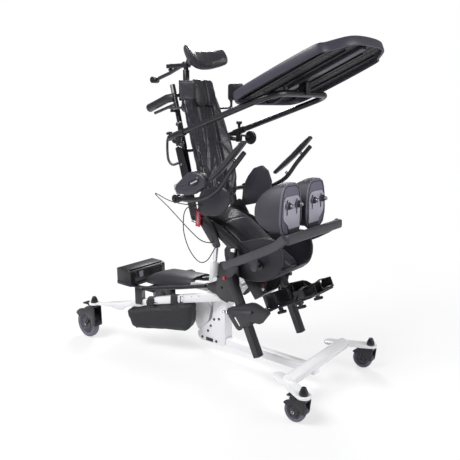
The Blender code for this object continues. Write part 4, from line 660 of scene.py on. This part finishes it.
edges = {"tower": 0.0022, "front_frame": 0.0026, "rear_leg_right": 0.0026, "rear_leg_left": 0.0026,
         "rear_carrier": 0.0012, "battery_box": 0.0060, "tilt_actuator": 0.0016, "actuator_cover": 0.0040,
         "side_bracket_right": 0.0010, "side_bracket_left": 0.0010, "leg_post_right": 0.0018,
         "leg_post_left": 0.0018, "knee_support_bar": 0.0010, "knee_pad_right": 0.0026, "knee_pad_left": 0.0026,
         "post_clamp_right": 0.0012, "post_clamp_left": 0.0012, "footplate": 0.0012, "foot_sandal_right": 0.0014,
         "foot_sandal_left": 0.0014, "seat_frame": 0.0010, "control_box": 0.0040, "carrier_plate_right": 0.0012,
         "carrier_plate_left": 0.0012, "hip_pad_right": 0.0024, "hip_pad_left": 0.0024, "back_frame": 0.0009,
         "headrest_rod": 0.0008, "armrest_right": 0.0008, "armrest_left": 0.0008, "elbow_block": 0.0036,
         "tray_frame": 0.0010}
edges.update({"caster_fork_" + corner: 0.0010 for corner in corners})
edges.update({"brake_pedal_" + corner: 0.0014 for corner in corners})


def camel(name, ending=""):
    first, *rest = name.split("_")
    return first + "".join(word.capitalize() for word in rest) + ending


finish = {"flat": 1.5, "corner": 32, "smooth": 44}      # degrees: faces joined, edges bevelled, edges shaded


def refined(name, width):
    source = nodes[name]
    obj = copyOf(camel(name), name)
    flat = obj.modifiers.new("Decimate", "DECIMATE")
    flat.decimate_type, flat.angle_limit = "DISSOLVE", math.radians(finish["flat"])
    obj = baked(obj)
    mod = obj.modifiers.new("Bevel", "BEVEL")
    mod.width, mod.segments, mod.limit_method, mod.angle_limit = width, 2, "ANGLE", math.radians(finish["corner"])
    mod.use_clamp_overlap = True
    mod.miter_outer = "MITER_ARC"
    obj = baked(obj, source.data.materials[0], finish["smooth"])
    return keep(obj, body_of(source)[0], slotOf[name], name)


hard = {name: refined(name, width) for name, width in edges.items()}
print("hard pieces:", len(hard))


# small repeated parts, placed on points by one node group

def makePlacer():
    tree = bpy.data.node_groups.new("placeParts", "GeometryNodeTree")
    for label, kind in [("Points", "Geometry"), ("Part", "Object"), ("Finish", "Material")]:
        tree.interface.new_socket(label, in_out="INPUT", socket_type="NodeSocket" + kind)
    tree.interface.new_socket("Result", in_out="OUTPUT", socket_type="NodeSocketGeometry")
    new, join = tree.nodes.new, tree.links.new
    start, end = new("NodeGroupInput"), new("NodeGroupOutput")
    kinds = ("ObjectInfo", "InstanceOnPoints", "RealizeInstances", "SetMaterial")
    info, place, real, paint = (new("GeometryNode" + kind) for kind in kinds)

    def attribute(label):
        node = new("GeometryNodeInputNamedAttribute")
        node.data_type = "FLOAT_VECTOR"
        node.inputs["Name"].default_value = label
        return node.outputs["Attribute"]

    alignZ, alignX = (new("FunctionNodeAlignRotationToVector") for _ in range(2))
    alignZ.axis, alignX.axis, alignX.pivot_axis = "Z", "X", "Z"
    join(attribute("aim"), alignZ.inputs["Vector"])
    join(alignZ.outputs[0], alignX.inputs["Rotation"])
    join(attribute("along"), alignX.inputs["Vector"])
    join(start.outputs["Points"], place.inputs["Points"])
    join(start.outputs["Part"], info.inputs["Object"])
    join(info.outputs["Geometry"], place.inputs["Instance"])
    join(alignX.outputs[0], place.inputs["Rotation"])
    join(attribute("size"), place.inputs["Scale"])
    join(place.outputs[0], real.inputs[0])
    join(real.outputs[0], paint.inputs["Geometry"])
    join(start.outputs["Finish"], paint.inputs["Material"])
    join(paint.outputs[0], end.inputs[0])
    return tree


placer = makePlacer()


def placed(name, part, spots, mat):      # spots are (place, aim, along, size)
    mesh = bpy.data.meshes.new(name)
    mesh.from_pydata([tuple(s[0]) for s in spots], [], [])
    for label, column in [("aim", 1), ("along", 2), ("size", 3)]:
        layer = mesh.attributes.new(label, "FLOAT_VECTOR", "POINT")
        layer.data.foreach_set("vector", np.array([tuple(s[column]) for s in spots], dtype=float).ravel())
    obj = linked(name, mesh)
    mod = obj.modifiers.new("placeParts", "NODES")
    mod.node_group = placer
    ids = {item.name: item.identifier for item in placer.interface.items_tree if item.in_out == "INPUT"}
    mod[ids["Part"]], mod[ids["Finish"]] = part, mat
    return baked(obj, mat, 40)


def partMesh(name, profile, sides=10):      # a small lathe shape kept out of the picture
    obj = lathed(name, profile, Matrix(), blackMould, sides)
    obj.hide_render = True
    return obj


boltHead = partMesh("boltHead", [(0.32, 0.0), (0.32, 0.42), (0.60, 0.50), (0.88, 0.42), (1.0, 0.22), (1.0, -0.05)])
unitBar = block("unitBar", (1, 1, 1), blackMould, bevel=0.08, segments=1)


def hitOn(obj, start, direction):
    found, place, normal, _ = obj.ray_cast(Vector(start), Vector(direction).normalized())
    return (place, normal) if found else (None, None)


def bolts(name, node, starts, direction, radius, mat):      # button heads set where rays meet a piece
    host = hard[node]
    spots = []
    for p in starts:
        place, normal = hitOn(host, at(*p), direction)
        if place is not None:
            spots.append((place, normal, normal.orthogonal(), (radius, radius, radius)))
    if spots:
        slot = "chrome" if mat is steel else "black_plastic"
        keep(placed(name, boltHead, spots, mat), body_of(nodes[node])[0], slot)
    print("bolts:", name, len(spots))


bolts("towerBolts", "tower", [(-0.2, -0.045, 0.305), (-0.2, -0.020, 0.250), (-0.2, -0.035, 0.160),
                              (-0.2, 0.010, 0.120)], (1, 0, 0), 0.0055, blackMould)
bolts("towerBoltsLeft", "tower", [(0.2, -0.045, 0.305), (0.2, 0.010, 0.120)], (-1, 0, 0), 0.0055, blackMould)
bolts("legBoltsRight", "rear_leg_right", [(-0.4, y, 0.2650 - y * 0.205) for y in (0.030, 0.062, 0.094)], (1, 0, 0),
      0.0036, steel)
for side, sign in (("Right", -1), ("Left", 1)):
    starts = [(sign * 0.4, y, z) for y, z in ((-0.139, 0.345), (-0.150, 0.425), (-0.120, 0.385), (-0.105, 0.300))]
    bolts("bracketBolts" + side, "side_bracket_" + side.lower(), starts, (-sign, 0, 0), 0.0052, blackMould)
bolts("carrierBolts", "carrier_plate_right", [(-0.4, -0.030, 0.600), (-0.4, -0.085, 0.505)], (1, 0, 0), 0.0048,
      steel)
bolts("footBolts", "footplate", [(s * 0.104, y, 0.6) for s in (-1, 1) for y in (-0.30, -0.34, -0.38)], (0, 0, -1),
      0.0042, steel)
bolts("elbowBolts", "elbow_block", [(-0.4, -0.110, 0.770), (-0.4, 0.000, 0.720)], (1, 0, 0), 0.0032, steel)
bolts("backBolts", "back_frame", [(-0.4, 0.075, 0.88), (-0.4, 0.065, 0.80)], (1, 0, 0), 0.0045, steel)


# casters: rubber tyre, and a hub with a ring of webs

casters = {"front": {"radius": 0.0380, "half": 0.0120, "y": -0.5407, "z": 0.0380, "x": 0.252},
           "rear": {"radius": 0.0635, "half": 0.0140, "y": 0.5683, "z": 0.0635, "x": 0.235}, "rim": 0.70,
           "bore": 0.0062, "webs": 9}


def addWheel(end, side, sign):
    c = casters[end]
    r, h = c["radius"], c["half"]
    axle = frameOf((sign * c["x"], c["y"], c["z"]), (1, 0, 0))
    inner = r * casters["rim"]
    profile = [(inner, -h * 0.80), (r * 0.80, -h * 0.96), (r * 0.88, -h), (r * 0.955, -h * 0.86),
               (r * 0.990, -h * 0.58), (r, -h * 0.25), (r, h * 0.25), (r * 0.990, h * 0.58), (r * 0.955, h * 0.86),
               (r * 0.88, h), (r * 0.80, h * 0.96), (inner, h * 0.80), (inner, -h * 0.80)]
    tyre = lathed("tyre" + end.capitalize() + side, profile, axle, tyreRubber, 56, 50)
    keep(tyre, "wheel_" + end + "_" + side.lower(), "grey_tyre", "caster_wheel_" + end + "_" + side.lower())
    bore, rim = casters["bore"], inner - 0.0004
    hub = lathed("hubBase", [(bore, -h * 0.70), (rim * 0.30, -h * 0.86), (rim * 0.62, -h * 0.80),
                             (rim * 0.66, -h * 0.62), (rim * 0.74, -h * 0.62), (rim * 0.78, -h * 0.76),
                             (rim, -h * 0.70), (rim, h * 0.70), (rim * 0.78, h * 0.76), (rim * 0.74, h * 0.62),
                             (rim * 0.66, h * 0.62), (rim * 0.62, h * 0.80), (rim * 0.30, h * 0.86),
                             (bore, h * 0.70), (bore, -h * 0.70)], axle, hubMould, 40, 35)
    spots = []
    for k in range(casters["webs"]):
        a = 2 * math.pi * k / casters["webs"]
        out = Vector((0, math.cos(a), math.sin(a)))
        for face in (-1, 1):
            place = Vector((sign * c["x"], c["y"], c["z"])) + out * rim * 0.70 + Vector((face * h * 0.62, 0, 0))
            spots.append((place, (face, 0, 0), out, (rim * 0.07, 0.0050, h * 0.10)))
    webs = placed("hubWebs", unitBar, spots, hubMould)
    hub = joined("hub" + end.capitalize() + side, [hub, webs], hubMould, 35)
    keep(hub, "wheel_" + end + "_" + side.lower())


for end in ("front", "rear"):
    for side, sign in (("Right", -1), ("Left", 1)):
        addWheel(end, side, sign)
print("casters placed")


# tray: rounded rim, thin deck, and a fine grid of ribs under it

tray = {"half": 0.2215, "length": 0.4450, "rim": 0.0300, "wall": 0.0085, "deck": 0.0130, "deckTop": 0.0290,
        "slope": math.radians(23.5), "low": (0, -0.235, 1.020), "pitch": 0.0430, "ribW": 0.0014, "ribH": 0.0014}
cosine, sine = math.cos(tray["slope"]), math.sin(tray["slope"])
trayTurn = Matrix(((-1, 0, 0), (0, -cosine, sine), (0, sine, cosine))).to_4x4()
trayMatrix = Matrix.Translation(at(*tray["low"])) @ trayTurn
sideways = Matrix(((0, 0, 1), (1, 0, 0), (0, 1, 0))).to_4x4()      # an outline's u is Y, its v is Z


def trayOutline(inset, samples=10):
    w, n = tray["half"] - inset, tray["length"] - inset
    right = [(w * 0.55, inset), (w * 0.84, 0.012 + inset), (w * 0.97, 0.050), (w, 0.130), (w * 0.99, 0.260),
             (w * 0.93, 0.360), (w * 0.80, n * 0.86), (w * 0.55, n * 0.96), (w * 0.25, n * 0.995)]
    loop = right + [(-x, y) for x, y in reversed(right)]
    return [(p.x, p.y) for p in smoothLine([(x, y, 0) for x, y in loop], samples, closed=True)]


def addTray():
    rim, wall = tray["rim"], tray["wall"]
    section = [(0.0026, 0.0), (wall - 0.0022, 0.0), (wall - 0.0004, 0.0024), (wall, 0.0060), (wall, rim - 0.0030),
               (wall - 0.0012, rim - 0.0010), (wall - 0.0034, rim), (0.0050, rim), (0.0024, rim - 0.0008),
               (0.0006, rim - 0.0034), (0.0, rim - 0.0080), (0.0004, 0.0040), (0.0012, 0.0012)]
    rings = [[trayMatrix @ Vector((x, y, h)) for x, y in trayOutline(inset, 8)] for inset, h in section]
    rings.append(rings[0])
    keep(lofted("trayRim", rings, trayMould, 50, cap=False), "tray_tilt", "black_plastic", "tray")
    # the deck's colour is painted shade, standing for the shade under the tray
    deck = prism("trayDeck", trayOutline(wall - 0.0012, 6), tray["deck"],
                 trayMatrix @ Matrix.Translation((0, 0, tray["deckTop"] - tray["deck"] / 2)), deckMould, 0.0)
    keep(deck, "tray_tilt")
    inside = trayOutline(wall + 0.0010, 12)
    edge = [Vector((x, y)) for x, y in inside]
    under = tray["deckTop"] - tray["deck"] - tray["ribH"] / 2
    turn = trayMatrix.to_3x3()
    spots = []
    for axis in (0, 1):
        low, high = min(p[axis] for p in edge), max(p[axis] for p in edge)
        line = low + tray["pitch"] * 0.55
        while line < high - 0.008:
            cuts = []
            for a, b in zip(edge, edge[1:] + edge[:1]):
                if (a[axis] - line) * (b[axis] - line) < 0:
                    share = (line - a[axis]) / (b[axis] - a[axis])
                    cuts.append(a[1 - axis] + (b[1 - axis] - a[1 - axis]) * share)
            cuts.sort()
            if len(cuts) >= 2:
                mid, span = (cuts[0] + cuts[-1]) / 2, cuts[-1] - cuts[0]
                place = (line, mid, under) if axis == 0 else (mid, line, under)
                along = (0, 1, 0) if axis == 0 else (1, 0, 0)
                spots.append((trayMatrix @ Vector(place), turn @ Vector((0, 0, 1)), turn @ Vector(along),
                              (span, tray["ribW"], tray["ribH"])))
            line += tray["pitch"]
    keep(placed("trayRibs", unitBar, spots, greyMould), "tray_tilt")


addTray()
print("tray placed")


# caster hoods over the wheels

hood = {"cheek": 0.0040, "inner": 0.76, "rear": 34, "front": 178, "arch": 106}


def addHood(end, side, sign, stemY, crown, spread):
    c = casters[end]
    r, y, z = c["radius"], c["y"], c["z"]
    outer = c["half"] + 0.0070

    def arc(radius, first, last, count=14):
        turns = [math.radians(a) for a in np.linspace(first, last, count)]
        return [(y + radius * math.cos(a), z + radius * math.sin(a)) for a in turns]

    upper = r + spread
    shape = arc(r * hood["inner"], hood["front"], hood["rear"]) + arc(upper, hood["rear"], 84)
    shape += [(stemY + 0.0165, crown - 0.006), (stemY + 0.0150, crown), (stemY - 0.0150, crown),
              (stemY - 0.0185, crown - 0.010), (y - upper, z + 0.006)]
    parts = []
    for face in (-1, 1):
        place = Matrix.Translation((sign * c["x"] + face * (outer - hood["cheek"] / 2), 0, 0)) @ sideways
        parts.append(prism("cheek", shape, hood["cheek"], place, blackMould, 0.0012))
    band = arc(r + 0.0020, hood["front"], hood["arch"], 10) + arc(upper, hood["arch"], hood["front"], 10)
    middle = Matrix.Translation((sign * c["x"], 0, 0)) @ sideways
    parts.append(prism("arch", band, outer * 2 - hood["cheek"], middle, blackMould, 0.0008))
    parts.append(lathed("pinCap", [(0.0001, 0.0010), (0.0046, 0.0008), (0.0056, 0.0), (0.0056, -0.002)],
                        frameOf((sign * (c["x"] + outer - 0.001), y, z), (sign, 0, 0)), steel, 20))
    obj = joined("hood" + end.capitalize() + side, parts)
    keep(obj, "fork_" + end + "_" + side.lower())


for side, sign in (("Right", -1), ("Left", 1)):
    addHood("front", side, sign, -0.5707, 0.0935, 0.0065)
    addHood("rear", side, sign, 0.5163, 0.1625, 0.0090)


# knobs, fittings and small trim

knobGrip = 0.07          # depth of the grip's flutes, as a share of the radius
knobProfile = [(0.35, 0.0), (0.42, 0.22), (0.92, 0.28), (1.0, 0.42), (1.0, 0.78), (0.88, 0.95), (0.55, 1.0),
               (0.05, 0.97)]


def knob(name, place, axis, radius, depth, body, lobes=8):
    matrix, sides = frameOf(place, axis), 48
    rings = []
    for share, h in knobProfile:
        deep = knobGrip if 0.25 < h < 0.96 else 0.0
        ring = []
        for a in np.linspace(0, 2 * math.pi, sides, endpoint=False):
            r = radius * share * (1 - deep * (0.5 + 0.5 * math.cos(lobes * a)))
            ring.append(matrix @ Vector((r * math.cos(a), r * math.sin(a), depth * h)))
        rings.append(ring)
    return keep(lofted(name, rings, knobMould, 50), body)


# a box of full sizes at a place
def slab(name, size, place, mat, body, bevel, segments=2, slot="black_plastic"):
    return keep(block(name, size, mat, Matrix.Translation(place), bevel, segments), body, slot)


def ball(name, place, axis, radius, body, mat):
    arc = [(radius * math.sin(t), radius * (1 - math.cos(t))) for t in np.linspace(0.35, math.pi - 0.02, 14)]
    return keep(lathed(name, [(radius * 0.34, -0.003)] + arc, frameOf(place, axis), mat, 28), body,
                "black_plastic" if mat is greyMould else "chrome")


for side, sign in (("Right", -1), ("Left", 1)):
    for k, offset in enumerate((0.0305, -0.0305)):
        ball("kneeKnob" + side + "AB"[k], (sign * 0.084 + sign * offset, -0.4150, 0.686), (0, -1, 0.05), 0.0078,
             "knee_pad_" + side.lower(), satinSteel)
    half = [(0, 0.762), (0.036, 0.760), (0.056, 0.738), (0.070, 0.668), (0.068, 0.612), (0.048, 0.580), (0, 0.572)]
    loop = half + [(-x, z) for x, z in reversed(half[1:-1])]
    line = [(sign * 0.084 + x * 0.86, -0.4012, 0.667 + (z - 0.667) * 0.88) for x, z in loop]
    keep(tube("kneeBorder" + side, smoothLine(line, 6, closed=True), 0.0014, rubber, 8, closed=True),
         "knee_pad_" + side.lower(), "soft_grey")

knob("headKnobA", (-0.004, 0.327, 1.125), (-1, 0, 0), 0.0110, 0.013, "headrest_slide")
knob("headKnobB", (0.008, 0.252, 1.158), (0, 0.2, 1), 0.0095, 0.012, "headrest_slide")
knob("headKnobC", (0.012, 0.180, 1.182), (-0.6, -0.2, 0.7), 0.0080, 0.011, "headrest_slide")
knob("clampKnobNear", (-0.1620, 0.098, 0.910), (-0.1, 0.2, 1), 0.0115, 0.014, "back")
knob("clampKnobFar", (0.176, 0.030, 0.868), (0.4, -0.6, -0.5), 0.0110, 0.013, "back")
ball("clampBall", (-0.1750, 0.0200, 0.880), (-1, -0.3, -0.2), 0.0080, "back", greyMould)
keep(tube("swingArm", smoothLine([(-0.1540, 0.090, 0.893), (-0.1620, 0.100, 0.902), (-0.1625, 0.110, 0.892),
                                  (-0.1625, 0.112, 0.850), (-0.1625, 0.106, 0.815), (-0.1600, 0.088, 0.800),
                                  (-0.1470, 0.070, 0.806)], 6), 0.0048, greyMould, 12), "back")
keep(lathed("clampDisc", [(0.0001, 0.0), (0.024, 0.0), (0.0275, 0.0015), (0.0285, 0.004), (0.0275, 0.0075),
                          (0.024, 0.009), (0.020, 0.0075), (0.0001, 0.0075)],
            frameOf((0.1925, -0.024, 0.893), (-1, 0, 0)), blackMould, 44), "back")
keep(tube("clampStalk", smoothLine([(0.1660, 0.006, 0.902), (0.1740, -0.012, 0.899), (0.1840, -0.024, 0.893)], 5),
          0.0046, blackMould, 12), "back")

# tower plate and bolts on the web
bolts("webBolts", "tower", [(-0.2, 0.0575, 0.0589), (-0.2, -0.0199, 0.0573), (-0.2, 0.0253, 0.0939),
                            (-0.2, -0.0088, 0.1527)], (1, 0, 0), 0.0058, blackMould)
slab("towerPlate", (0.0020, 0.038, 0.015), (-0.0252, 0.0262, 0.0570), blackMould, "base", 0.0008)

# battery box: bare patch, skirt and lid
slab("batteryPatch", (0.022, 0.0012, 0.026), (-0.0434, 0.4166, 0.2770), patchGrey, "base", 0.0004)
slab("batterySkirt", (0.2170, 0.0980, 0.0160), (0, 0.4620, 0.2370), blackMould, "base", 0.0030)
slab("batteryLid", (0.1960, 0.0740, 0.0040), (0, 0.4640, 0.3050), blackMould, "base", 0.0018)

# control box: plate, rocker and a socket
slab("controlPlate", (0.0016, 0.024, 0.034), (-0.0486, -0.2640, 0.3540), greyMould, "seat", 0.0006)
slab("controlRocker", (0.0030, 0.0075, 0.0085), (-0.0498, -0.2640, 0.3620), signalRed, "seat", 0.0010)
keep(lathed("controlSocket", [(0.0028, 0.0006), (0.0030, 0.0022), (0.0052, 0.0022), (0.0056, 0.0)],
            frameOf((-0.0490, -0.2640, 0.3450), (-1, 0, 0)), steel, 20), "seat", "chrome")

# side bracket clip and fitting, and the release handle on the carrier plate
slab("redClip", (0.0040, 0.010, 0.013), (-0.1338, -0.1422, 0.3854), signalRed, "base", 0.0012)
slab("whiteFitting", (0.010, 0.018, 0.013), (-0.1500, -0.1980, 0.5050), white, "base", 0.0030, slot="white_paint")
tilt = Matrix.Translation((-0.1300, -0.0125, 0.6000)) @ Matrix.Rotation(math.radians(4), 4, "X")
keep(block("releaseTag", (0.0042, 0.0230, 0.0680), signalRed, tilt, 0.0018, 3), "back_carrier")
keep(block("releaseTagInset", (0.0050, 0.0090, 0.0470), patchGrey, tilt, 0.0006), "back_carrier")

# elbow block: recess, bare strip and pale end cap
lean = Matrix.Translation((-0.2306, -0.0850, 0.7530)) @ Matrix.Rotation(math.radians(-24), 4, "X")
keep(block("elbowRecess", (0.0026, 0.0560, 0.0180), knobMould, lean, 0.0010), "armrest_right")
keep(block("elbowStrip", (0.0038, 0.0360, 0.0055), patchGrey, lean, 0.0008), "armrest_right")
lean = Matrix.Translation((-0.2165, 0.0060, 0.7190)) @ Matrix.Rotation(math.radians(-24), 4, "X")
keep(block("elbowCap", (0.0240, 0.0200, 0.0420), patchGrey, lean, 0.0070, 4), "armrest_right")

# tray: slide rail, webs, saddle and a carrying handle under the deck
railPlace = trayMatrix @ Matrix.Translation((0, 0.267, 0.0103))
keep(block("trayRail", (0.036, 0.294, 0.0125), greyMould, railPlace, 0.0026, 3), "tray_tilt")
webs = []
for x in (-0.150, -0.060, 0.060, 0.150):
    place = trayMatrix @ Matrix.Translation((x, 0.200, 0.0128))
    webs.append(block("trayWeb", (0.0030, 0.360, 0.0070), blackMould, place, 0.0006))
keep(joined("trayWebs", webs), "tray_tilt")
saddleTop = (0.400 - 0.235) * math.tan(tray["slope"]) + 1.020 - 1.057 + 0.008
saddle = [(0.016, -0.004), (0.016, saddleTop), (-0.016, saddleTop - 0.004), (-0.016, -0.004)]
roundBar = np.linspace(math.radians(200.7), math.radians(-20.7), 20)
saddle += [(0.0113 * math.cos(t), 0.0113 * math.sin(t)) for t in roundBar]
saddlePlace = Matrix.Translation(at(0, -0.400, 1.057)) @ sideways
keep(prism("traySaddle", saddle, 0.028, saddlePlace, blackMould, 0.0012), "tray_tilt")
handle = [(0.030, 0.118, 0.015), (0.030, 0.110, -0.008), (0.030, 0.070, -0.016), (0.030, 0.036, -0.008),
          (0.030, 0.028, 0.015)]
keep(tube("trayHandle", smoothLine([trayMatrix @ Vector(p) for p in handle], 7), 0.0052, greyMould, 12),
     "tray_tilt")

# foot carrier grip, and toe straps on the sandals
keep(tube("gripStrap", smoothLine([(-0.1755, -0.196, 0.2755), (-0.1790, -0.225, 0.2830), (-0.1790, -0.270, 0.2930),
                                   (-0.1745, -0.302, 0.2985)], 8), 0.0100, rubber, 14, flat=0.32), "foot_carrier",
     "black_paint")
ball("gripKnob", (-0.1765, -0.188, 0.2735), (-0.5, 1, -0.2), 0.0080, "foot_carrier", steel)
for side, sign in (("Right", -1), ("Left", 1)):
    x = sign * 0.060
    toe = [(x - 0.0400, -0.432, 0.352), (x - 0.0350, -0.441, 0.380), (x, -0.446, 0.394),
           (x + 0.0350, -0.441, 0.380), (x + 0.0400, -0.432, 0.352)]
    keep(tube("toeStrap" + side, smoothLine(toe, 8), 0.0100, webbing, 14, flat=0.16), "footplate", "soft_black")


# webbing loops of the bag round the rear leg

legLoop = {"half": 0.015, "inside": 0.0010, "outside": 0.0034, "hang": 0.010, "along": (-0.3467, 0.9380, 0)}


def addLegLoop(name, y, x):
    host = hard["rear_leg_right"]
    half, low, high = legLoop["half"], legLoop["inside"], legLoop["outside"]
    along = Vector(legLoop["along"]).normalized()
    across = along.cross(Vector((0, 0, 1)))
    top, _ = hitOn(host, (x, y, 0.5), (0, 0, -1))
    bottom, _ = hitOn(host, (x, y, 0.0), (0, 0, 1))
    centre = (top + bottom) / 2
    sections = []
    for a in np.linspace(0, 2 * math.pi, 32, endpoint=False):
        out = across * math.cos(a) + Vector((0, 0, math.sin(a)))
        place, _ = hitOn(host, centre, out)
        if place is None:
            continue
        far = (place - centre).length
        hang = legLoop["hang"] * max(0.0, -math.sin(a)) ** 2
        ring = ((low, -half), (low, half), (high, half), (high, -half))
        sections.append([centre + out * (far + lift + hang) + along * side for lift, side in ring])
    sections.append(sections[0])
    keep(lofted(name, sections, webbing, 40, cap=False), "base", "soft_black")
    print("leg loop:", name, len(sections))


addLegLoop("bagLoopFront", 0.1480, -0.1010)
addLegLoop("bagLoopRear", 0.2480, -0.1380)
print("trim placed")


# seams: stitches on the back and head pads, piping on the bag and the seat

# lines are lists of points; each stitch sits on the cloth
def stitched(name, host, lines, direction, body, step=0.0066):
    spots = []
    for line in lines:
        ends = [Vector(p) for p in line]
        for a, b in zip(ends, ends[1:]):
            count = max(1, int((b - a).length / step))
            for k in range(count):
                place, normal = hitOn(host, a.lerp(b, (k + 0.5) / count), direction)
                if place is not None:
                    spots.append((place + normal * 0.0002, normal, (b - a).normalized(), (0.0040, 0.0011, 0.0008)))
    keep(placed(name, unitBar, spots, seamThread), body, "soft_black")
    print("stitches:", name, len(spots))


def channelLine(x):
    return [(x, -0.3, z) for z in (0.690, 0.780, 0.870, 0.960, 1.015)]


channels = [s * (backSoft["channelX"] + offset) for s in (-1, 1) for offset in (-0.0045, 0.0045)]
stitched("backStitches", soft["backCushion"], [channelLine(x) for x in channels], (0, 1, 0), "back")
stitched("headStitches", soft["headPad"], [[(x, -0.3, 1.178) for x in np.linspace(-0.088, 0.088, 5)]], (0, 1, 0),
         "headrest_tilt")


def addPiping(name, host, starts, direction, radius, body):
    hits = [hitOn(host, p, direction) for p in starts]
    line = [place - Vector(direction) * radius * 0.3 for place, _ in hits if place is not None]
    if len(line) > 3:
        keep(tube(name, smoothLine(line, 4), radius, webbing, 10), body, "soft_black")
    print("piping:", name, len(line))


addPiping("bagPiping", soft["accessoryBag"], [(-0.6, y, 0.2080) for y in np.linspace(0.075, 0.345, 14)], (1, 0, 0),
          0.0020, "base")
addPiping("seatPiping", soft["seatCushion"], [(x, -0.2400, 0.9) for x in np.linspace(-0.082, 0.082, 12)],
          (0, 0, -1), 0.0018, "seat")

for spare in (boltHead, unitBar):
    bpy.data.objects.remove(spare, do_unlink=True)


# floor, backdrop and light

stage = {"half": 14, "fadeFrom": 0.55, "fadeTo": 2.2}


def addStage():
    size = stage["half"]
    floor = fromFaces("floor", [(-size, -size, -0.0005), (size, -size, -0.0005), (size, size, -0.0005),
                                (-size, size, -0.0005)], [(0, 1, 2, 3)], None)
    g = Graph("floorWhite")
    g.finish(Base_Color=(0.86, 0.86, 0.88), Roughness=0.9)
    glow = g.node("ShaderNodeEmission", {}, (1, 1, 1, 1), 1.0)
    camRay = g.node("ShaderNodeLightPath", out="Is Camera Ray")
    away = g.node("ShaderNodeVectorMath", {"operation": "LENGTH"}, g.coord, out="Value")
    faded = g.node("ShaderNodeMapRange", {"interpolation_type": "SMOOTHSTEP"}, away, stage["fadeFrom"],
                   stage["fadeTo"], light["floor"], 1.0)
    both = g.node("ShaderNodeMixShader", {}, camRay * faded, Wire(g, g.shader.outputs[0]), glow)
    output = next(n for n in g.tree.nodes if n.type == "OUTPUT_MATERIAL")
    g.feed(output.inputs["Surface"], both)
    floor.data.materials.append(g.mat)
    world = bpy.data.worlds.new("studio")
    bpy.context.scene.world = world
    world.use_nodes = True
    tree = world.node_tree
    path = tree.nodes.new("ShaderNodeLightPath")
    shown = tree.nodes.new("ShaderNodeMath")
    shown.operation = "MAXIMUM"
    tree.links.new(path.outputs["Is Camera Ray"], shown.inputs[0])
    tree.links.new(path.outputs["Is Transmission Ray"], shown.inputs[1])
    strength = tree.nodes.new("ShaderNodeMapRange")
    tree.links.new(shown.outputs[0], strength.inputs["Value"])
    strength.inputs["To Min"].default_value = light["world"]
    strength.inputs["To Max"].default_value = 1.0
    back = tree.nodes["Background"]
    back.inputs["Color"].default_value = (1, 1, 1, 1)
    tree.links.new(strength.outputs[0], back.inputs["Strength"])


def addLamp(name, place, target, size, power):
    data = bpy.data.lights.new(name, "AREA")
    data.shape, data.size, data.size_y, data.energy = "RECTANGLE", size[0], size[1], power
    lamp = bpy.data.objects.new(name, data)
    bpy.context.scene.collection.objects.link(lamp)
    start = Vector(place)
    turn = (Vector(target) - start).to_track_quat("-Z", "Y").to_matrix().to_4x4()
    lamp.matrix_world = Matrix.Translation(start) @ turn


bpy.context.scene.view_settings.view_transform = "Standard"
addStage()
lamps = {"key": ((-1.8, 0.4, 2.6), (0, 0, 0.7), (1.6, 1.2)), "fill": ((0.6, -2.8, 1.6), (0, 0, 0.7), (1.6, 1.6)),
         "rim": ((1.9, 1.4, 2.2), (0, 0, 0.8), (1.2, 1.2))}
for name, (place, target, size) in lamps.items():
    addLamp(name, place, target, size, light[name])

print("scene finished")
